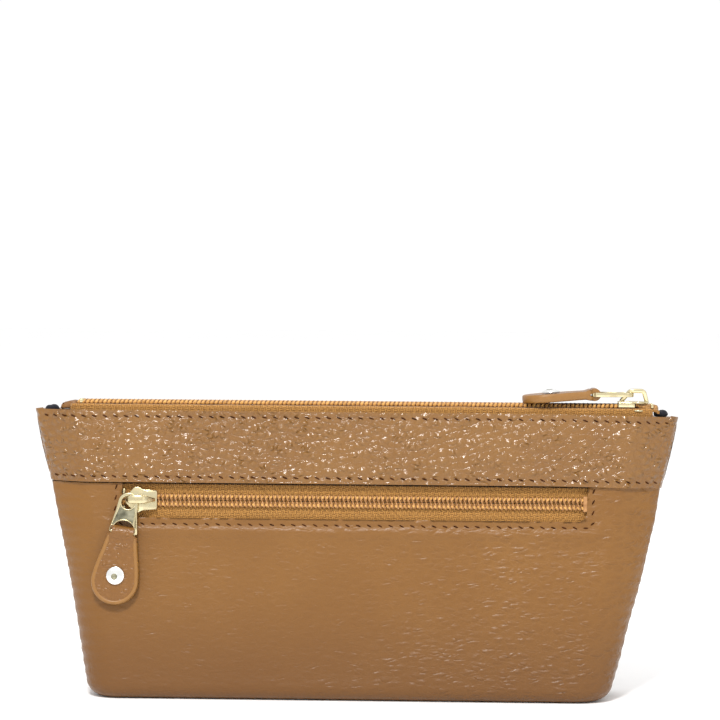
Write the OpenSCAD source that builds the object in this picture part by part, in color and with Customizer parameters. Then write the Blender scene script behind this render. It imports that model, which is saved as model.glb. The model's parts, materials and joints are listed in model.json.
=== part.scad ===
// Small leather zip pouch: a wedge of pebbled leather that stands on a boxed base, narrows in
// depth to a zipped mouth, and carries a second zip across its front pocket.
// Millimetres. X runs along the mouth, the front faces -Y, and Z is up from the base's underside.

/* [Overall] */
// Length of the mouth, measured over the leather
mouth_w = 200; // [170:1:250]
// Length of the base
base_w = 160; // [135:1:200]
// Height of the leather, without the zip that stands above it
leather_h = 90; // [80:1:120]
// Depth of the base, front to back
base_d = 34; // [30:1:44]
// Depth of the closed mouth over the body leather
mouth_d = 13; // [12:0.5:18]

/* [Leather and lining] */
// Thickness of the body leather
leather_t = 1.5; // [1:0.1:1.8]
// How far the top bands stand proud of the body leather
yoke_t = 1; // [0.6:0.1:1.4]
// Height of the top bands
yoke_h = 22.5; // [16:0.5:28]
// Thickness of the lining cloth
lining_t = 0.5; // [0.3:0.1:0.8]
// Thickness of the card stiffener in the base
board_t = 1.2; // [0.8:0.1:2]
// Corner radius of the base, seen from above
base_corner_r = 9; // [6:0.5:12]

/* [Zips] */
// Width of the closed coil chain
chain_w = 4.5; // [4:0.1:5.5]
// Thickness of the coils above their tape
coil_t = 1.4; // [1.2:0.1:1.8]
// Thickness of the zip tape
tape_t = 0.35; // [0.3:0.05:0.5]
// Height of the middle of the top chain above the leather's edge
top_chain_rise = 2.3; // [2:0.1:4]
// Length of the pocket's window
window_w = 146; // [110:1:150]
// Height of the pocket's window
window_h = 11.1; // [10:0.1:14]

/* [Sliders] */
// Length of a slider
slider_l = 9.9; // [9:0.1:12]
// Width of a slider at its widest
slider_w = 8.1; // [7.5:0.1:9]
// Thickness of a slider's plates
plate_t = 0.6; // [0.5:0.05:0.9]
// Height of the bail's bar above the middle of the chain
bail_h = 4.7; // [4.5:0.1:5.5]
// Width of the bail's flat strap
bail_w = 2.4; // [1.2:0.1:2.6]

/* [Pulls and tabs] */
// Distance from the bail to the bar at the foot of a metal pull
pull_l = 10.5; // [9.5:0.1:14]
// Width of a metal pull at its foot
pull_foot_w = 9; // [8.5:0.1:11]
// Thickness of a metal pull
pull_t = 1.3; // [1:0.1:1.4]
// Length of a leather tab below its bar
tab_l = 22.5; // [20:0.5:30]
// Width of a leather tab's round end
tab_w = 14.4; // [12:0.1:16]
// Thickness of a leather tab, two layers together
tab_t = 2.6; // [2:0.1:2.8]
// Diameter of a rivet's head
rivet_d = 5.8; // [5:0.1:7]
// How far the pocket's pull hangs askew, in degrees
pocket_pull_askew = 8.8; // [0:0.1:12]

/* [Hidden] */

$fn = 48;
// Facets of the circles inside hulls
hull_fn = 32;
// Clearance between neighbours that don't touch
gap = 0.3;
// Fine clearance, as between cloth layers and round a pin
fine = 0.1;
// Reach of a cutting block, past everything it cuts
reach = 400;
// Thickness of the slices that the leather shape is stretched between
slice = 0.01;

// Half depth of the front face leaned back over the leather's height
lean = atan((base_d - mouth_d) / 2 / leather_h);
// Height of the seam under the top bands, where the mouth bends open
seam_z = leather_h - yoke_h;
// Half length over which the mouth keeps its full depth
mouth_flat = mouth_w / 2 - 12;
// Radius of the mouth's pointed ends, the least that an inner face keeps, and their half angle
mouth_end_r = 1.5;
mouth_end_least_r = 0.3;
mouth_end_angle = atan((mouth_d / 2 - mouth_end_r) / (mouth_w / 2 - mouth_end_r - mouth_flat));

// Inner faces, as offsets of the leather's outer face
facing_out = -leather_t - tape_t - 2 * fine;
lining_out = -leather_t - gap;

// Heights in a zip's own frame, measured out from the middle of the chain
tape_bottom = -coil_t / 2 + 0.2 - tape_t;
tape_top = tape_bottom + tape_t;
coil_top = tape_top + coil_t;
plate_in = coil_top + fine;
plate_out = plate_in + plate_t;
back_plate_in = tape_bottom - fine;
back_plate_out = back_plate_in - plate_t;
tape_inner = 0.3;

// Top zip: the height of its chain's middle and the places of its ends
top_chain_z = leather_h + top_chain_rise;
top_slider_x = mouth_w / 2 - 12.4;
top_end_x = -mouth_w / 2 + 14;
stop_l = 1.4;

// Pocket zip: the middle of its window, the depth of its chain with its tape just behind the
// leather, its slider's closed place
pocket_z = seam_z - window_h / 2 * cos(lean);
pocket_chain_depth = leather_t + fine + tape_top;
pocket_slider_x = -window_w / 2 + slider_l / 2 + 1.05;
pocket_coil_end = window_w / 2 - 1.6;
hem = 2;

// Pocket bag: the back of the bag, its floor's height, and half its length
pocket_back_y = -2.4;
pocket_low = 20;
pocket_half = window_w / 2 + 1;

// Base lining's underside, and the lower edge of the lining's walls above it
lining_floor_z = leather_t + board_t + fine;
lining_low = lining_floor_z + lining_t + fine;

// Bail: a flat strap in an arch, steep at the nose and sloping at the tail
bail_t = 0.9;
bail_nose_foot = -slider_l / 2 + 0.75;
bail_nose_top = bail_nose_foot + 1;
bail_tail_foot = slider_l / 2 - 0.95;
bail_tail_top = bail_tail_foot - (bail_h - plate_out);

// Where the pulls turn on the bails, in a zip's own frame
top_pivot_z = bail_h - 1;
top_pivot_x = bail_tail_top + (bail_h - top_pivot_z);
pocket_pivot_z = bail_h - 1.5;
pocket_pivot_x = bail_nose_foot + (bail_nose_top - bail_nose_foot) * (pocket_pivot_z - plate_out) / (bail_h - plate_out);
ring_t = 0.8;
ring_hole_r = 2.1;
ring_wall = 0.95;
ring_play = 1.1;
bar_r = 0.7;
bar_bore_r = bar_r + fine;
foot_post = 1.1;
loop_r = bar_bore_r + 1.05;
loop_w = pull_foot_w - 2 * foot_post - 2 * fine;
tab_shoulder = loop_r - 0.5;
tab_end_r = tab_w / 2;
rivet_x = tab_l - 8.9;
rivet_post_r = 1;
rivet_dome_h = 0.9;
rivet_back_h = 0.25;
top_tab_droop = 3;
pocket_tab_droop = 1;

LEATHER = [0.65, 0.45, 0.27];
TAPE = [0.72, 0.52, 0.27];
COIL = [0.78, 0.58, 0.32];
METAL = [0.86, 0.8, 0.6];
NICKEL = [0.9, 0.9, 0.88];
CLOTH = [0.09, 0.1, 0.16];
CARD = [0.6, 0.55, 0.45];

// ---- The leather shape ----

function front_y(z) = -base_d / 2 + z * tan(lean);

// A rectangle with round corners, about the origin
module rounded_rectangle(w, d, r) {
    square([w - 2 * r, d], center = true);
    square([w, d - 2 * r], center = true);
    for (sx = [-1, 1], sy = [-1, 1])
        translate([sx * (w / 2 - r), sy * (d / 2 - r)])
            circle(r = r);
}

// The space inside the pouch's skin, grown by an amount that is negative inwards. A pointed end
// keeps a small radius and draws back instead once the amount has used up its own.
module pouch_shape(grow) {
    end_r = max(mouth_end_r + grow, mouth_end_least_r);
    drawn_back = (end_r - mouth_end_r - grow) / sin(mouth_end_angle);
    hull() {
        linear_extrude(slice)
            rounded_rectangle(base_w + 2 * grow, base_d + 2 * grow, base_corner_r + grow, $fn = hull_fn);
        translate([0, 0, leather_h - slice])
            linear_extrude(slice) {
                square([2 * mouth_flat, mouth_d + 2 * grow], center = true);
                for (s = [-1, 1])
                    translate([s * (mouth_w / 2 - mouth_end_r - drawn_back), 0])
                        circle(r = end_r, $fn = hull_fn);
            }
    }
}

// The skin between two offsets of the pouch's shape, from one height to another,
// on the front (side = -1) or the back (side = 1)
module skin(outer, inner, low, high, side) {
    intersection() {
        difference() {
            pouch_shape(outer);
            pouch_shape(inner);
        }
        translate([-reach / 2, side > 0 ? gap / 2 : -reach - gap / 2, low])
            cube([reach, reach, high - low]);
    }
}

// ---- Frames of the two zips: x from the slider's nose to its tail, z outwards ----

module at_pocket_zip() {
    translate([0, front_y(pocket_z) + pocket_chain_depth * cos(lean), pocket_z - pocket_chain_depth * sin(lean)])
        rotate([90 - lean, 0, 0])
            children();
}

module at_top_zip() {
    translate([0, 0, top_chain_z])
        rotate([0, 0, 180])
            children();
}

// ---- Body of the pouch ----

module window_hole() {
    at_pocket_zip()
        translate([-window_w / 2, -window_h / 2, -5])
            cube([window_w, window_h + 5, 10]);
}

// Opening in the lining, clear of the tapes' hems
module hem_hole() {
    margin = hem + gap;
    at_pocket_zip()
        translate([-window_w / 2 - margin, -window_h / 2 - margin, -5])
            cube([window_w + 2 * margin, window_h + margin + 5, 10]);
}

module front_panel() {
    color(LEATHER)
        difference() {
            skin(0, -leather_t, leather_t, seam_z - gap, -1);
            window_hole();
        }
}

module back_panel() {
    color(LEATHER)
        skin(0, -leather_t, leather_t, seam_z - gap, 1);
}

module base_panel() {
    color(LEATHER)
        linear_extrude(leather_t)
            rounded_rectangle(base_w, base_d, base_corner_r);
}

module base_board() {
    inset = leather_t + 2;
    color(CARD)
        translate([0, 0, leather_t])
            linear_extrude(board_t)
                rounded_rectangle(base_w - 2 * inset, base_d - 2 * inset, base_corner_r - inset / 2);
}

module lining_front() {
    color(CLOTH)
        difference() {
            skin(lining_out, lining_out - lining_t, lining_low, seam_z - gap, -1);
            hem_hole();
        }
}

module lining_back() {
    color(CLOTH)
        skin(lining_out, lining_out - lining_t, lining_low, seam_z - gap, 1);
}

module lining_base() {
    inset = -lining_out + lining_t + gap;
    color(CLOTH)
        translate([0, 0, lining_floor_z])
            linear_extrude(lining_t)
                rounded_rectangle(base_w - 2 * inset, base_d - 2 * inset, base_corner_r - inset / 2);
}

// The pocket's cloth bag: it hangs straight down inside from the pocket's window
module pocket_lining() {
    depth_in = (-lining_out + lining_t + gap) / cos(lean);
    high = seam_z - 2 * gap;
    low_front = front_y(pocket_low) + depth_in;
    high_front = front_y(high) + depth_in;
    back = pocket_back_y;
    color(CLOTH)
        difference() {
            translate([-pocket_half, 0, 0])
                rotate([90, 0, 90])
                    linear_extrude(2 * pocket_half)
                        polygon([[low_front, pocket_low], [back, pocket_low], [back, high], [high_front, high]]);
            translate([-pocket_half + lining_t, 0, 0])
                rotate([90, 0, 90])
                    linear_extrude(2 * (pocket_half - lining_t))
                        polygon([
                            [low_front - 5, pocket_low + lining_t],
                            [back - lining_t, pocket_low + lining_t],
                            [back - lining_t, high - lining_t],
                            [high_front - 5, high - lining_t]
                        ]);
        }
}

// ---- The mouth's bands and the cloth behind them ----

module front_yoke() {
    color(LEATHER)
        skin(yoke_t, -leather_t, seam_z, leather_h, -1);
}

module back_yoke() {
    color(LEATHER)
        skin(yoke_t, -leather_t, seam_z, leather_h, 1);
}

// Straight cloth strip behind a band, on the front (side = -1) or the back (side = 1)
module facing(side) {
    corner_x = base_w / 2 - base_corner_r;
    half = corner_x + (mouth_flat - corner_x) * seam_z / leather_h;
    // Below the bend of the tape over the leather's edge
    high = leather_h - 3 * gap;
    low_y = -front_y(seam_z) + facing_out;
    high_y = -front_y(high) + facing_out;
    color(CLOTH)
        translate([-half, 0, 0])
            rotate([90, 0, 90])
                linear_extrude(2 * half)
                    polygon([
                        [side * low_y, seam_z], [side * (low_y - lining_t), seam_z],
                        [side * (high_y - lining_t), high], [side * high_y, high]
                    ]);
}

module facing_front() {
    facing(-1);
}

module facing_back() {
    facing(1);
}

// ---- Top zip ----

// One tape of the top zip: flat under its coil, then down over the leather's edge into the band
module top_tape(side) {
    wedge_clear = 1.9;
    shoulder_y = slider_w / 2 + 0.25;
    edge_y = mouth_d / 2 - leather_t - tape_t - fine;
    low = leather_h - 5;
    // The band's inner face leans, so the tape's lower end sits further out
    low_y = edge_y + 5 * tan(lean);
    half = mouth_flat - 2;
    color(TAPE)
        difference() {
            translate([-half, 0, 0])
                rotate([90, 0, 90])
                    linear_extrude(2 * half)
                        polygon([
                            [side * tape_inner, top_chain_z + tape_bottom],
                            [side * (shoulder_y - tape_t), top_chain_z + tape_bottom],
                            [side * edge_y, leather_h - 0.6],
                            [side * low_y, low],
                            [side * (low_y + tape_t), low],
                            [side * (edge_y + tape_t), leather_h - 0.4],
                            [side * shoulder_y, top_chain_z + tape_top],
                            [side * tape_inner, top_chain_z + tape_top]
                        ]);
            translate([top_slider_x - 1, -wedge_clear, leather_h])
                cube([reach, 2 * wedge_clear, reach]);
        }
}

module top_tape_front() {
    top_tape(-1);
}

module top_tape_back() {
    top_tape(1);
}

// One coil of a chain, in the zip's own frame; y_side says which side of the chain
module coil(from_x, to_x, y_side) {
    width = chain_w / 2 - fine / 2;
    color(COIL)
        translate([from_x, y_side > 0 ? fine / 2 : -fine / 2 - width, tape_top])
            cube([to_x - from_x, width, coil_t]);
}

module top_coil_front() {
    at_top_zip()
        coil(-top_slider_x, -top_end_x, 1);
}

module top_coil_back() {
    at_top_zip()
        coil(-top_slider_x, -top_end_x, -1);
}

// Leather patch that caps the zip's closed end, sloping down to the pouch's end
module top_end_tab() {
    start = top_end_x - stop_l - gap - 0.2;
    length = 5.8;
    drop = 1.6;
    color(LEATHER)
        translate([0, 3.2, 0])
            rotate([90, 0, 0])
                linear_extrude(6.4)
                    polygon([
                        [start, leather_h + gap],
                        [start, top_chain_z + coil_top],
                        [start - length, top_chain_z + coil_top - drop],
                        [start - length, leather_h + gap]
                    ]);
}

// Ends of the tapes, folded down past the slider, clear of the bands as they swing open
module top_tape_tail() {
    color(TAPE)
        translate([top_slider_x + slider_l / 2 + 1.4, -3, leather_h + 3 * gap])
            cube([1.3, 6, top_chain_rise - 2 * gap]);
}

// Crimped clips at a zip's open end, one on each tape, in the zip's own frame
module top_stops(x) {
    for (s = [-1, 1])
        translate([x, s * 2.7 - 0.8, tape_top + fine])
            cube([0.8, 1.6, coil_t]);
}

module bottom_stop(x) {
    translate([x, -chain_w / 2 - 0.2, tape_top + fine])
        cube([stop_l, chain_w + 0.4, coil_t]);
}

module top_top_stops() {
    color(METAL)
        at_top_zip()
            top_stops(-top_slider_x - slider_l / 2 - 1.1);
}

module top_bottom_stop() {
    color(METAL)
        at_top_zip()
            bottom_stop(-top_end_x + 0.2);
}

// ---- Slider, pull, tab and rivet, shared by both zips, each in its own frame ----

// Slider body about the middle of the chain: nose at -x
module slider_body() {
    half = slider_l / 2;
    waist = slider_w * 0.34;
    wing = slider_w / 2;
    skirt_t = 0.85;
    wing_x = -0.12 * slider_l;
    wedge_l = half - 1.6;
    outline = [
        [-half, -1.3], [wing_x - 1, -wing], [wing_x + 0.6, -wing], [wing_x + 2.4, -waist - 0.5],
        [half, -waist - 0.3], [half, waist + 0.3], [wing_x + 2.4, waist + 0.5], [wing_x + 0.6, wing],
        [wing_x - 1, wing], [-half, 1.3]
    ];
    color(METAL) {
        translate([0, 0, plate_in])
            linear_extrude(plate_t)
                polygon(outline);
        translate([0, 0, back_plate_out])
            linear_extrude(plate_t)
                polygon(outline);
        // Wedge that parts the two coils
        translate([-half, -1.3, back_plate_out])
            cube([wedge_l, 2.6, plate_out - back_plate_out]);
        // Skirts that hold the chain together at the tail
        for (s = [-1, 1])
            translate([wing_x + 2.4, s > 0 ? chain_w / 2 + fine : -chain_w / 2 - fine - skirt_t, tape_top + fine])
                cube([half - wing_x - 2.4, skirt_t, plate_in - tape_top - fine + plate_t / 2]);
    }
}

// A flat strap of rectangular section between two points in the xz plane
module strap(a, b, w, t) {
    length = norm([b[0] - a[0], b[1] - a[1]]);
    turn = atan2(b[1] - a[1], b[0] - a[0]);
    translate([a[0], 0, a[1]])
        rotate([0, -turn, 0])
            translate([0, -w / 2, -t / 2])
                cube([length, w, t]);
}

// Round knuckle where two straps of the bail meet
module knuckle(p, w, t) {
    translate([p[0], w / 2, p[1]])
        rotate([90, 0, 0])
            cylinder(h = w, r = t / 2);
}

module slider_bail() {
    nose_foot = [bail_nose_foot, plate_out];
    nose_top = [bail_nose_top, bail_h];
    tail_top = [bail_tail_top, bail_h];
    tail_foot = [bail_tail_foot, plate_out];
    // The arch narrows where the pull's ring runs
    leg_w = min(bail_w, 1.2);
    color(METAL)
        difference() {
            union() {
                strap(nose_foot, nose_top, leg_w, bail_t);
                knuckle(nose_top, bail_w, bail_t);
                strap(nose_top, tail_top, bail_w, bail_t);
                knuckle(tail_top, leg_w, bail_t);
                strap(tail_top, tail_foot, leg_w, bail_t);
                knuckle(nose_foot, leg_w, bail_t);
                knuckle(tail_foot, leg_w, bail_t);
            }
            translate([-reach / 2, -reach / 2, plate_out - reach])
                cube([reach, reach, reach]);
        }
}

// Flat metal pull: its ring runs on the bail at the origin, its foot is out along +x
module pull() {
    ring_x = ring_hole_r - ring_play;
    ring_r = ring_hole_r + ring_wall;
    foot_x = pull_l + bar_r;
    slot_x = pull_l - loop_r - 2 * fine;
    neck_x = ring_x + ring_hole_r + 0.9;
    recess = 0.25;
    color(METAL)
        difference() {
            union() {
                // Ring
                translate([ring_x, 0, -ring_t / 2])
                    cylinder(h = ring_t, r = ring_r);
                // Neck that joins the ring to the plate
                translate([ring_x, 0, -ring_t / 2])
                    linear_extrude(ring_t)
                        polygon([[0, -ring_r], [neck_x - ring_x, -ring_r - 0.35], [neck_x - ring_x, ring_r + 0.35], [0, ring_r]]);
                // Plate
                translate([0, 0, -pull_t / 2])
                    linear_extrude(pull_t)
                        polygon([
                            [neck_x, -ring_r - 0.35], [foot_x, -pull_foot_w / 2],
                            [foot_x, pull_foot_w / 2], [neck_x, ring_r + 0.35]
                        ]);
            }
            translate([ring_x, 0, -pull_t])
                cylinder(h = 2 * pull_t, r = ring_hole_r);
            // Slot for the leather's loop, and the room below the bar
            translate([slot_x, -loop_w / 2 - fine, -pull_t])
                cube([reach, loop_w + 2 * fine, 2 * pull_t]);
            // Sunk panel on the show side
            translate([neck_x + 0.4, -1.7, pull_t / 2 - recess])
                cube([slot_x - neck_x - 1, 3.4, pull_t]);
        }
    // Bar that the leather folds over
    color(METAL)
        translate([pull_l, -pull_foot_w / 2 + foot_post / 2, 0])
            rotate([-90, 0, 0])
                cylinder(h = pull_foot_w - foot_post, r = bar_r);
}

// Leather tab folded over the bar at the origin, hanging out along +x
module tab() {
    centre_x = tab_l - tab_end_r;
    color(LEATHER)
        difference() {
            union() {
                translate([0, loop_w / 2, 0])
                    rotate([90, 0, 0])
                        cylinder(h = loop_w, r = loop_r);
                translate([0, -loop_w / 2, -tab_t / 2])
                    cube([tab_shoulder + 1, loop_w, tab_t]);
                translate([0, 0, -tab_t / 2])
                    linear_extrude(tab_t)
                        polygon([
                            [tab_shoulder, -pull_foot_w / 2], [centre_x - 1.5, -tab_end_r + 0.2],
                            [centre_x, -tab_end_r], [centre_x, tab_end_r],
                            [centre_x - 1.5, tab_end_r - 0.2], [tab_shoulder, pull_foot_w / 2]
                        ]);
                translate([centre_x, 0, -tab_t / 2])
                    cylinder(h = tab_t, r = tab_end_r);
            }
            translate([0, reach / 2, 0])
                rotate([90, 0, 0])
                    cylinder(h = reach, r = bar_bore_r);
            translate([rivet_x, 0, -tab_t])
                cylinder(h = 2 * tab_t, r = rivet_post_r + 0.05);
        }
}

// Domed head on the show side of a tab
module rivet_cap() {
    dome_r = (pow(rivet_d / 2, 2) + pow(rivet_dome_h, 2)) / (2 * rivet_dome_h);
    color(NICKEL)
        translate([rivet_x, 0, tab_t / 2])
            intersection() {
                translate([0, 0, rivet_dome_h - dome_r])
                    sphere(r = dome_r);
                cylinder(h = rivet_dome_h, r = rivet_d / 2);
            }
}

// Post through the leather and the flat head behind it
module rivet_stud() {
    color(NICKEL)
        translate([rivet_x, 0, -tab_t / 2 - rivet_back_h]) {
            cylinder(h = rivet_back_h, r = rivet_d / 2 - 0.4);
            cylinder(h = tab_t + rivet_back_h, r = rivet_post_r);
        }
}

// ---- Places of the sliders' pieces ----

module at_top_slider() {
    at_top_zip()
        translate([-top_slider_x, 0, 0])
            children();
}

module at_top_pull() {
    at_top_slider()
        translate([top_pivot_x, 0, top_pivot_z])
            children();
}

module at_top_tab() {
    at_top_pull()
        translate([pull_l, 0, 0])
            rotate([0, top_tab_droop, 0])
                children();
}

module at_pocket_slider() {
    at_pocket_zip()
        translate([pocket_slider_x, 0, 0])
            children();
}

module at_pocket_pull() {
    at_pocket_slider()
        translate([pocket_pivot_x, 0, pocket_pivot_z])
            rotate([0, 0, -90 - pocket_pull_askew])
                children();
}

module at_pocket_tab() {
    at_pocket_pull()
        translate([pull_l, 0, 0])
            rotate([0, pocket_tab_droop, 0])
                children();
}

module top_slider_body() {
    at_top_slider()
        slider_body();
}

module top_slider_bail() {
    at_top_slider()
        slider_bail();
}

module top_pull() {
    at_top_pull()
        pull();
}

module top_pull_tab() {
    at_top_tab()
        tab();
}

module top_rivet_cap() {
    at_top_tab()
        rivet_cap();
}

module top_rivet_stud() {
    at_top_tab()
        rivet_stud();
}

module pocket_slider_body() {
    at_pocket_slider()
        slider_body();
}

module pocket_slider_bail() {
    at_pocket_slider()
        slider_bail();
}

module pocket_pull() {
    at_pocket_pull()
        pull();
}

module pocket_pull_tab() {
    at_pocket_tab()
        tab();
}

module pocket_rivet_cap() {
    at_pocket_tab()
        rivet_cap();
}

module pocket_rivet_stud() {
    at_pocket_tab()
        rivet_stud();
}

// ---- Pocket zip ----

// One tape of the pocket zip, from the chain to its hem behind the leather
module pocket_tape(side) {
    wedge_clear = 1.9;
    // The upper hem stays under the top band's seam
    outer = side > 0 ? window_h / 2 - gap : window_h / 2 + hem;
    width = outer - tape_inner;
    length = window_w + 2 * hem;
    color(TAPE)
        at_pocket_zip()
            difference() {
                translate([-length / 2, side > 0 ? tape_inner : -outer, tape_bottom])
                    cube([length, width, tape_t]);
                translate([-reach, -wedge_clear, -reach / 2])
                    cube([reach + pocket_slider_x + 1, 2 * wedge_clear, reach]);
            }
}

module pocket_tape_upper() {
    pocket_tape(1);
}

module pocket_tape_lower() {
    pocket_tape(-1);
}

module pocket_coil_upper() {
    at_pocket_zip()
        coil(pocket_slider_x, pocket_coil_end, 1);
}

module pocket_coil_lower() {
    at_pocket_zip()
        coil(pocket_slider_x, pocket_coil_end, -1);
}

module pocket_top_stops() {
    color(METAL)
        at_pocket_zip()
            top_stops(pocket_slider_x - slider_l / 2 - 0.95);
}

module pocket_bottom_stop() {
    color(METAL)
        at_pocket_zip()
            bottom_stop(pocket_coil_end + 0.15);
}

front_panel();
back_panel();
base_panel();
base_board();
lining_front();
lining_back();
lining_base();
pocket_lining();
front_yoke();
back_yoke();
facing_front();
facing_back();
top_tape_front();
top_tape_back();
top_coil_front();
top_coil_back();
top_end_tab();
top_tape_tail();
top_top_stops();
top_bottom_stop();
top_slider_body();
top_slider_bail();
top_pull();
top_pull_tab();
top_rivet_cap();
top_rivet_stud();
pocket_tape_upper();
pocket_tape_lower();
pocket_coil_upper();
pocket_coil_lower();
pocket_top_stops();
pocket_bottom_stop();
pocket_slider_body();
pocket_slider_bail();
pocket_pull();
pocket_pull_tab();
pocket_rivet_cap();
pocket_rivet_stud();
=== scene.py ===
# %% [markdown]
# # A small leather zip pouch
# A wedge of pebbled leather that stands on a boxed base. One zip closes its mouth and a second one closes a
# flat pocket in its front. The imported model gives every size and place, and this file gives the looks: soft
# leather panels, thread, woven tape, wound coils and plated metal.

# %% Load the frame
import json
import math

import bmesh
import bpy
import numpy as np
from mathutils import Matrix, Vector


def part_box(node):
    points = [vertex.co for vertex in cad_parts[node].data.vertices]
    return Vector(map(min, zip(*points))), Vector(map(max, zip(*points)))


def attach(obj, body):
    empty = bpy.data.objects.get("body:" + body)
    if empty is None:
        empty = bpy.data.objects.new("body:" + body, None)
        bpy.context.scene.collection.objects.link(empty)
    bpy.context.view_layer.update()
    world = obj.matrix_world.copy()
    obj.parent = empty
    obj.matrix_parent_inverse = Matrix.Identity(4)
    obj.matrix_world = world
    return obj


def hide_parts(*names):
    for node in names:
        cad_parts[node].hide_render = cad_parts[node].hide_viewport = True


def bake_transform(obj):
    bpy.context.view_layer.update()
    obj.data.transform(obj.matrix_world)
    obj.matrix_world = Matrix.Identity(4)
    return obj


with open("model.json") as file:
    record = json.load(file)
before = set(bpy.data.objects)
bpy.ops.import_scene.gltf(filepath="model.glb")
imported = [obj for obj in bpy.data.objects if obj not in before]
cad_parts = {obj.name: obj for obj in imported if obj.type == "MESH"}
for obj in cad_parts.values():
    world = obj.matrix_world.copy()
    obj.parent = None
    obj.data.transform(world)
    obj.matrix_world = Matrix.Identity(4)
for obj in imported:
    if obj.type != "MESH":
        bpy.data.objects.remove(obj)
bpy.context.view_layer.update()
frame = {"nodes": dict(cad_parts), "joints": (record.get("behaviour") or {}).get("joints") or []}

MM = 0.001
joints = {j["name"]: j for j in frame["joints"]}

# %% [markdown]
# ## Sizes from the frame
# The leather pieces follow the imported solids, so their sizes are read from the solids' own corners. The
# front face leans back in a straight line from the base to the mouth, and two heights of one panel give that
# line.

# %% Sizes of the leather shape


def points_of(node):
    """All corners of a CAD node as an array of x, y, z."""
    mesh = frame["nodes"][node].data
    co = np.zeros(len(mesh.vertices) * 3)
    mesh.vertices.foreach_get("co", co)
    return co.reshape(-1, 3)


hair = 0.05 * MM
band_low, band_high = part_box("front_yoke")
base_low, base_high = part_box("base_panel")
panel_pts = points_of("front_panel")
band_pts = points_of("front_yoke")

top_z, seam_z = band_high.z, band_low.z
leather_t = base_high.z
base_half_x, base_half_y = base_high.x, base_high.y
corner_r = base_half_x - points_of("base_panel")[points_of("base_panel")[:, 1] < base_low.y + hair, 0].max()

panel_foot = panel_pts[panel_pts[:, 2] < panel_pts[:, 2].min() + hair, 1].min()
panel_head_z = panel_pts[:, 2].max()
panel_head = panel_pts[panel_pts[:, 2] > panel_head_z - hair, 1].min()
slope = (panel_head - panel_foot) / (panel_head_z - panel_pts[:, 2].min())
lean = math.atan(slope)


def front_y(z):
    """Where the flat of the front stands at a height."""
    return panel_foot + slope * (z - panel_pts[:, 2].min())


band_proud = front_y(seam_z) - band_low.y
mouth_half_y = -front_y(top_z)
band_top = band_pts[band_pts[:, 2] > top_z - hair]
mouth_flat = band_top[band_top[:, 1] < band_top[:, 1].min() + hair, 0].max()
tip_r = 1.5 * MM
mouth_half_x = band_high.x - band_proud

window_pts = panel_pts[(panel_pts[:, 2] > seam_z * 0.75) & (np.abs(panel_pts[:, 0]) < mouth_flat * 0.9)]
window_half = window_pts[:, 0].max()
window_face = window_pts[window_pts[:, 1] < front_y(seam_z * 0.8) + 0.6 * MM]
window_z = window_face[:, 2].min()
print("mouth", mouth_half_x, mouth_half_y, "base", base_half_x, base_half_y, "corner", round(corner_r, 5))
print("lean", round(math.degrees(lean), 2), "window", round(window_half, 4), round(window_z, 4), "proud",
      band_proud)

# %% [markdown]
# ## The camera
# The pouch is seen from the front, from a little above and a hair to its right. A long lens far away keeps
# its edges nearly parallel. The object stands low in the frame, so the camera aims above it.

# %% Camera
camera = bpy.data.objects.new("camera", bpy.data.cameras.new("camera"))
bpy.context.scene.collection.objects.link(camera)
bpy.context.scene.camera = camera
camera.data.lens = 129.5
camera.data.sensor_width = 36.0
camera.data.clip_start, camera.data.clip_end = 0.05, 20.0
camera_turn, camera_tip, camera_roll = math.radians(1.4), math.radians(1.75), math.radians(0.47)
aim = Vector((1.1 * MM, 0, top_z + 16.2 * MM))
camera_back = Vector((
    math.sin(camera_turn) * math.cos(camera_tip), -math.cos(camera_turn) * math.cos(camera_tip),
    math.sin(camera_tip)
))
camera.location = aim + camera_back * 0.82
camera.rotation_mode = "QUATERNION"
camera_tilt = Matrix.Rotation(camera_roll, 3, "Z").to_quaternion()
camera.rotation_quaternion = (-camera_back).to_track_quat("-Z", "Y") @ camera_tilt
print("camera at", [round(v, 3) for v in camera.location])

# %% [markdown]
# ## Helpers for nodes
# Shaders and Geometry Nodes are both trees of nodes. One helper adds a node, sets its properties, and either
# links or sets each of its inputs, so that a recipe below reads as a list of steps.

# %% Node helpers


def add(tree, kind, inputs=None, **settings):
    """A new node in a tree. inputs maps a socket's name or number to a value or to another node's socket."""
    node = tree.nodes.new(kind)
    for name, value in settings.items():
        setattr(node, name, value)
    for key, value in (inputs or {}).items():
        if isinstance(value, bpy.types.NodeSocket):
            tree.links.new(value, node.inputs[key])
        else:
            node.inputs[key].default_value = value
    return node


def math_node(tree, operation, *values, clamp=False):
    """A Math node's result."""
    return add(tree, "ShaderNodeMath", dict(enumerate(values)), operation=operation,
               use_clamp=clamp).outputs[0]


def vector_math(tree, operation, *values):
    """A Vector Math node's vector, for numbers that are scaled or added."""
    node = add(tree, "ShaderNodeVectorMath", operation=operation)
    for i, value in enumerate(values):
        socket = node.inputs[3] if operation == "SCALE" and i == 1 else node.inputs[i]
        if isinstance(value, bpy.types.NodeSocket):
            tree.links.new(value, socket)
        else:
            socket.default_value = value
    return node.outputs[0]


def map_range(tree, value, low, high, to_low=0.0, to_high=1.0, smooth=False):
    """A value rescaled from one range to another and held inside it."""
    node = add(tree, "ShaderNodeMapRange", {0: value, 1: low, 2: high, 3: to_low, 4: to_high})
    node.interpolation_type = "SMOOTHSTEP" if smooth else "LINEAR"
    return node.outputs[0]


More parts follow.
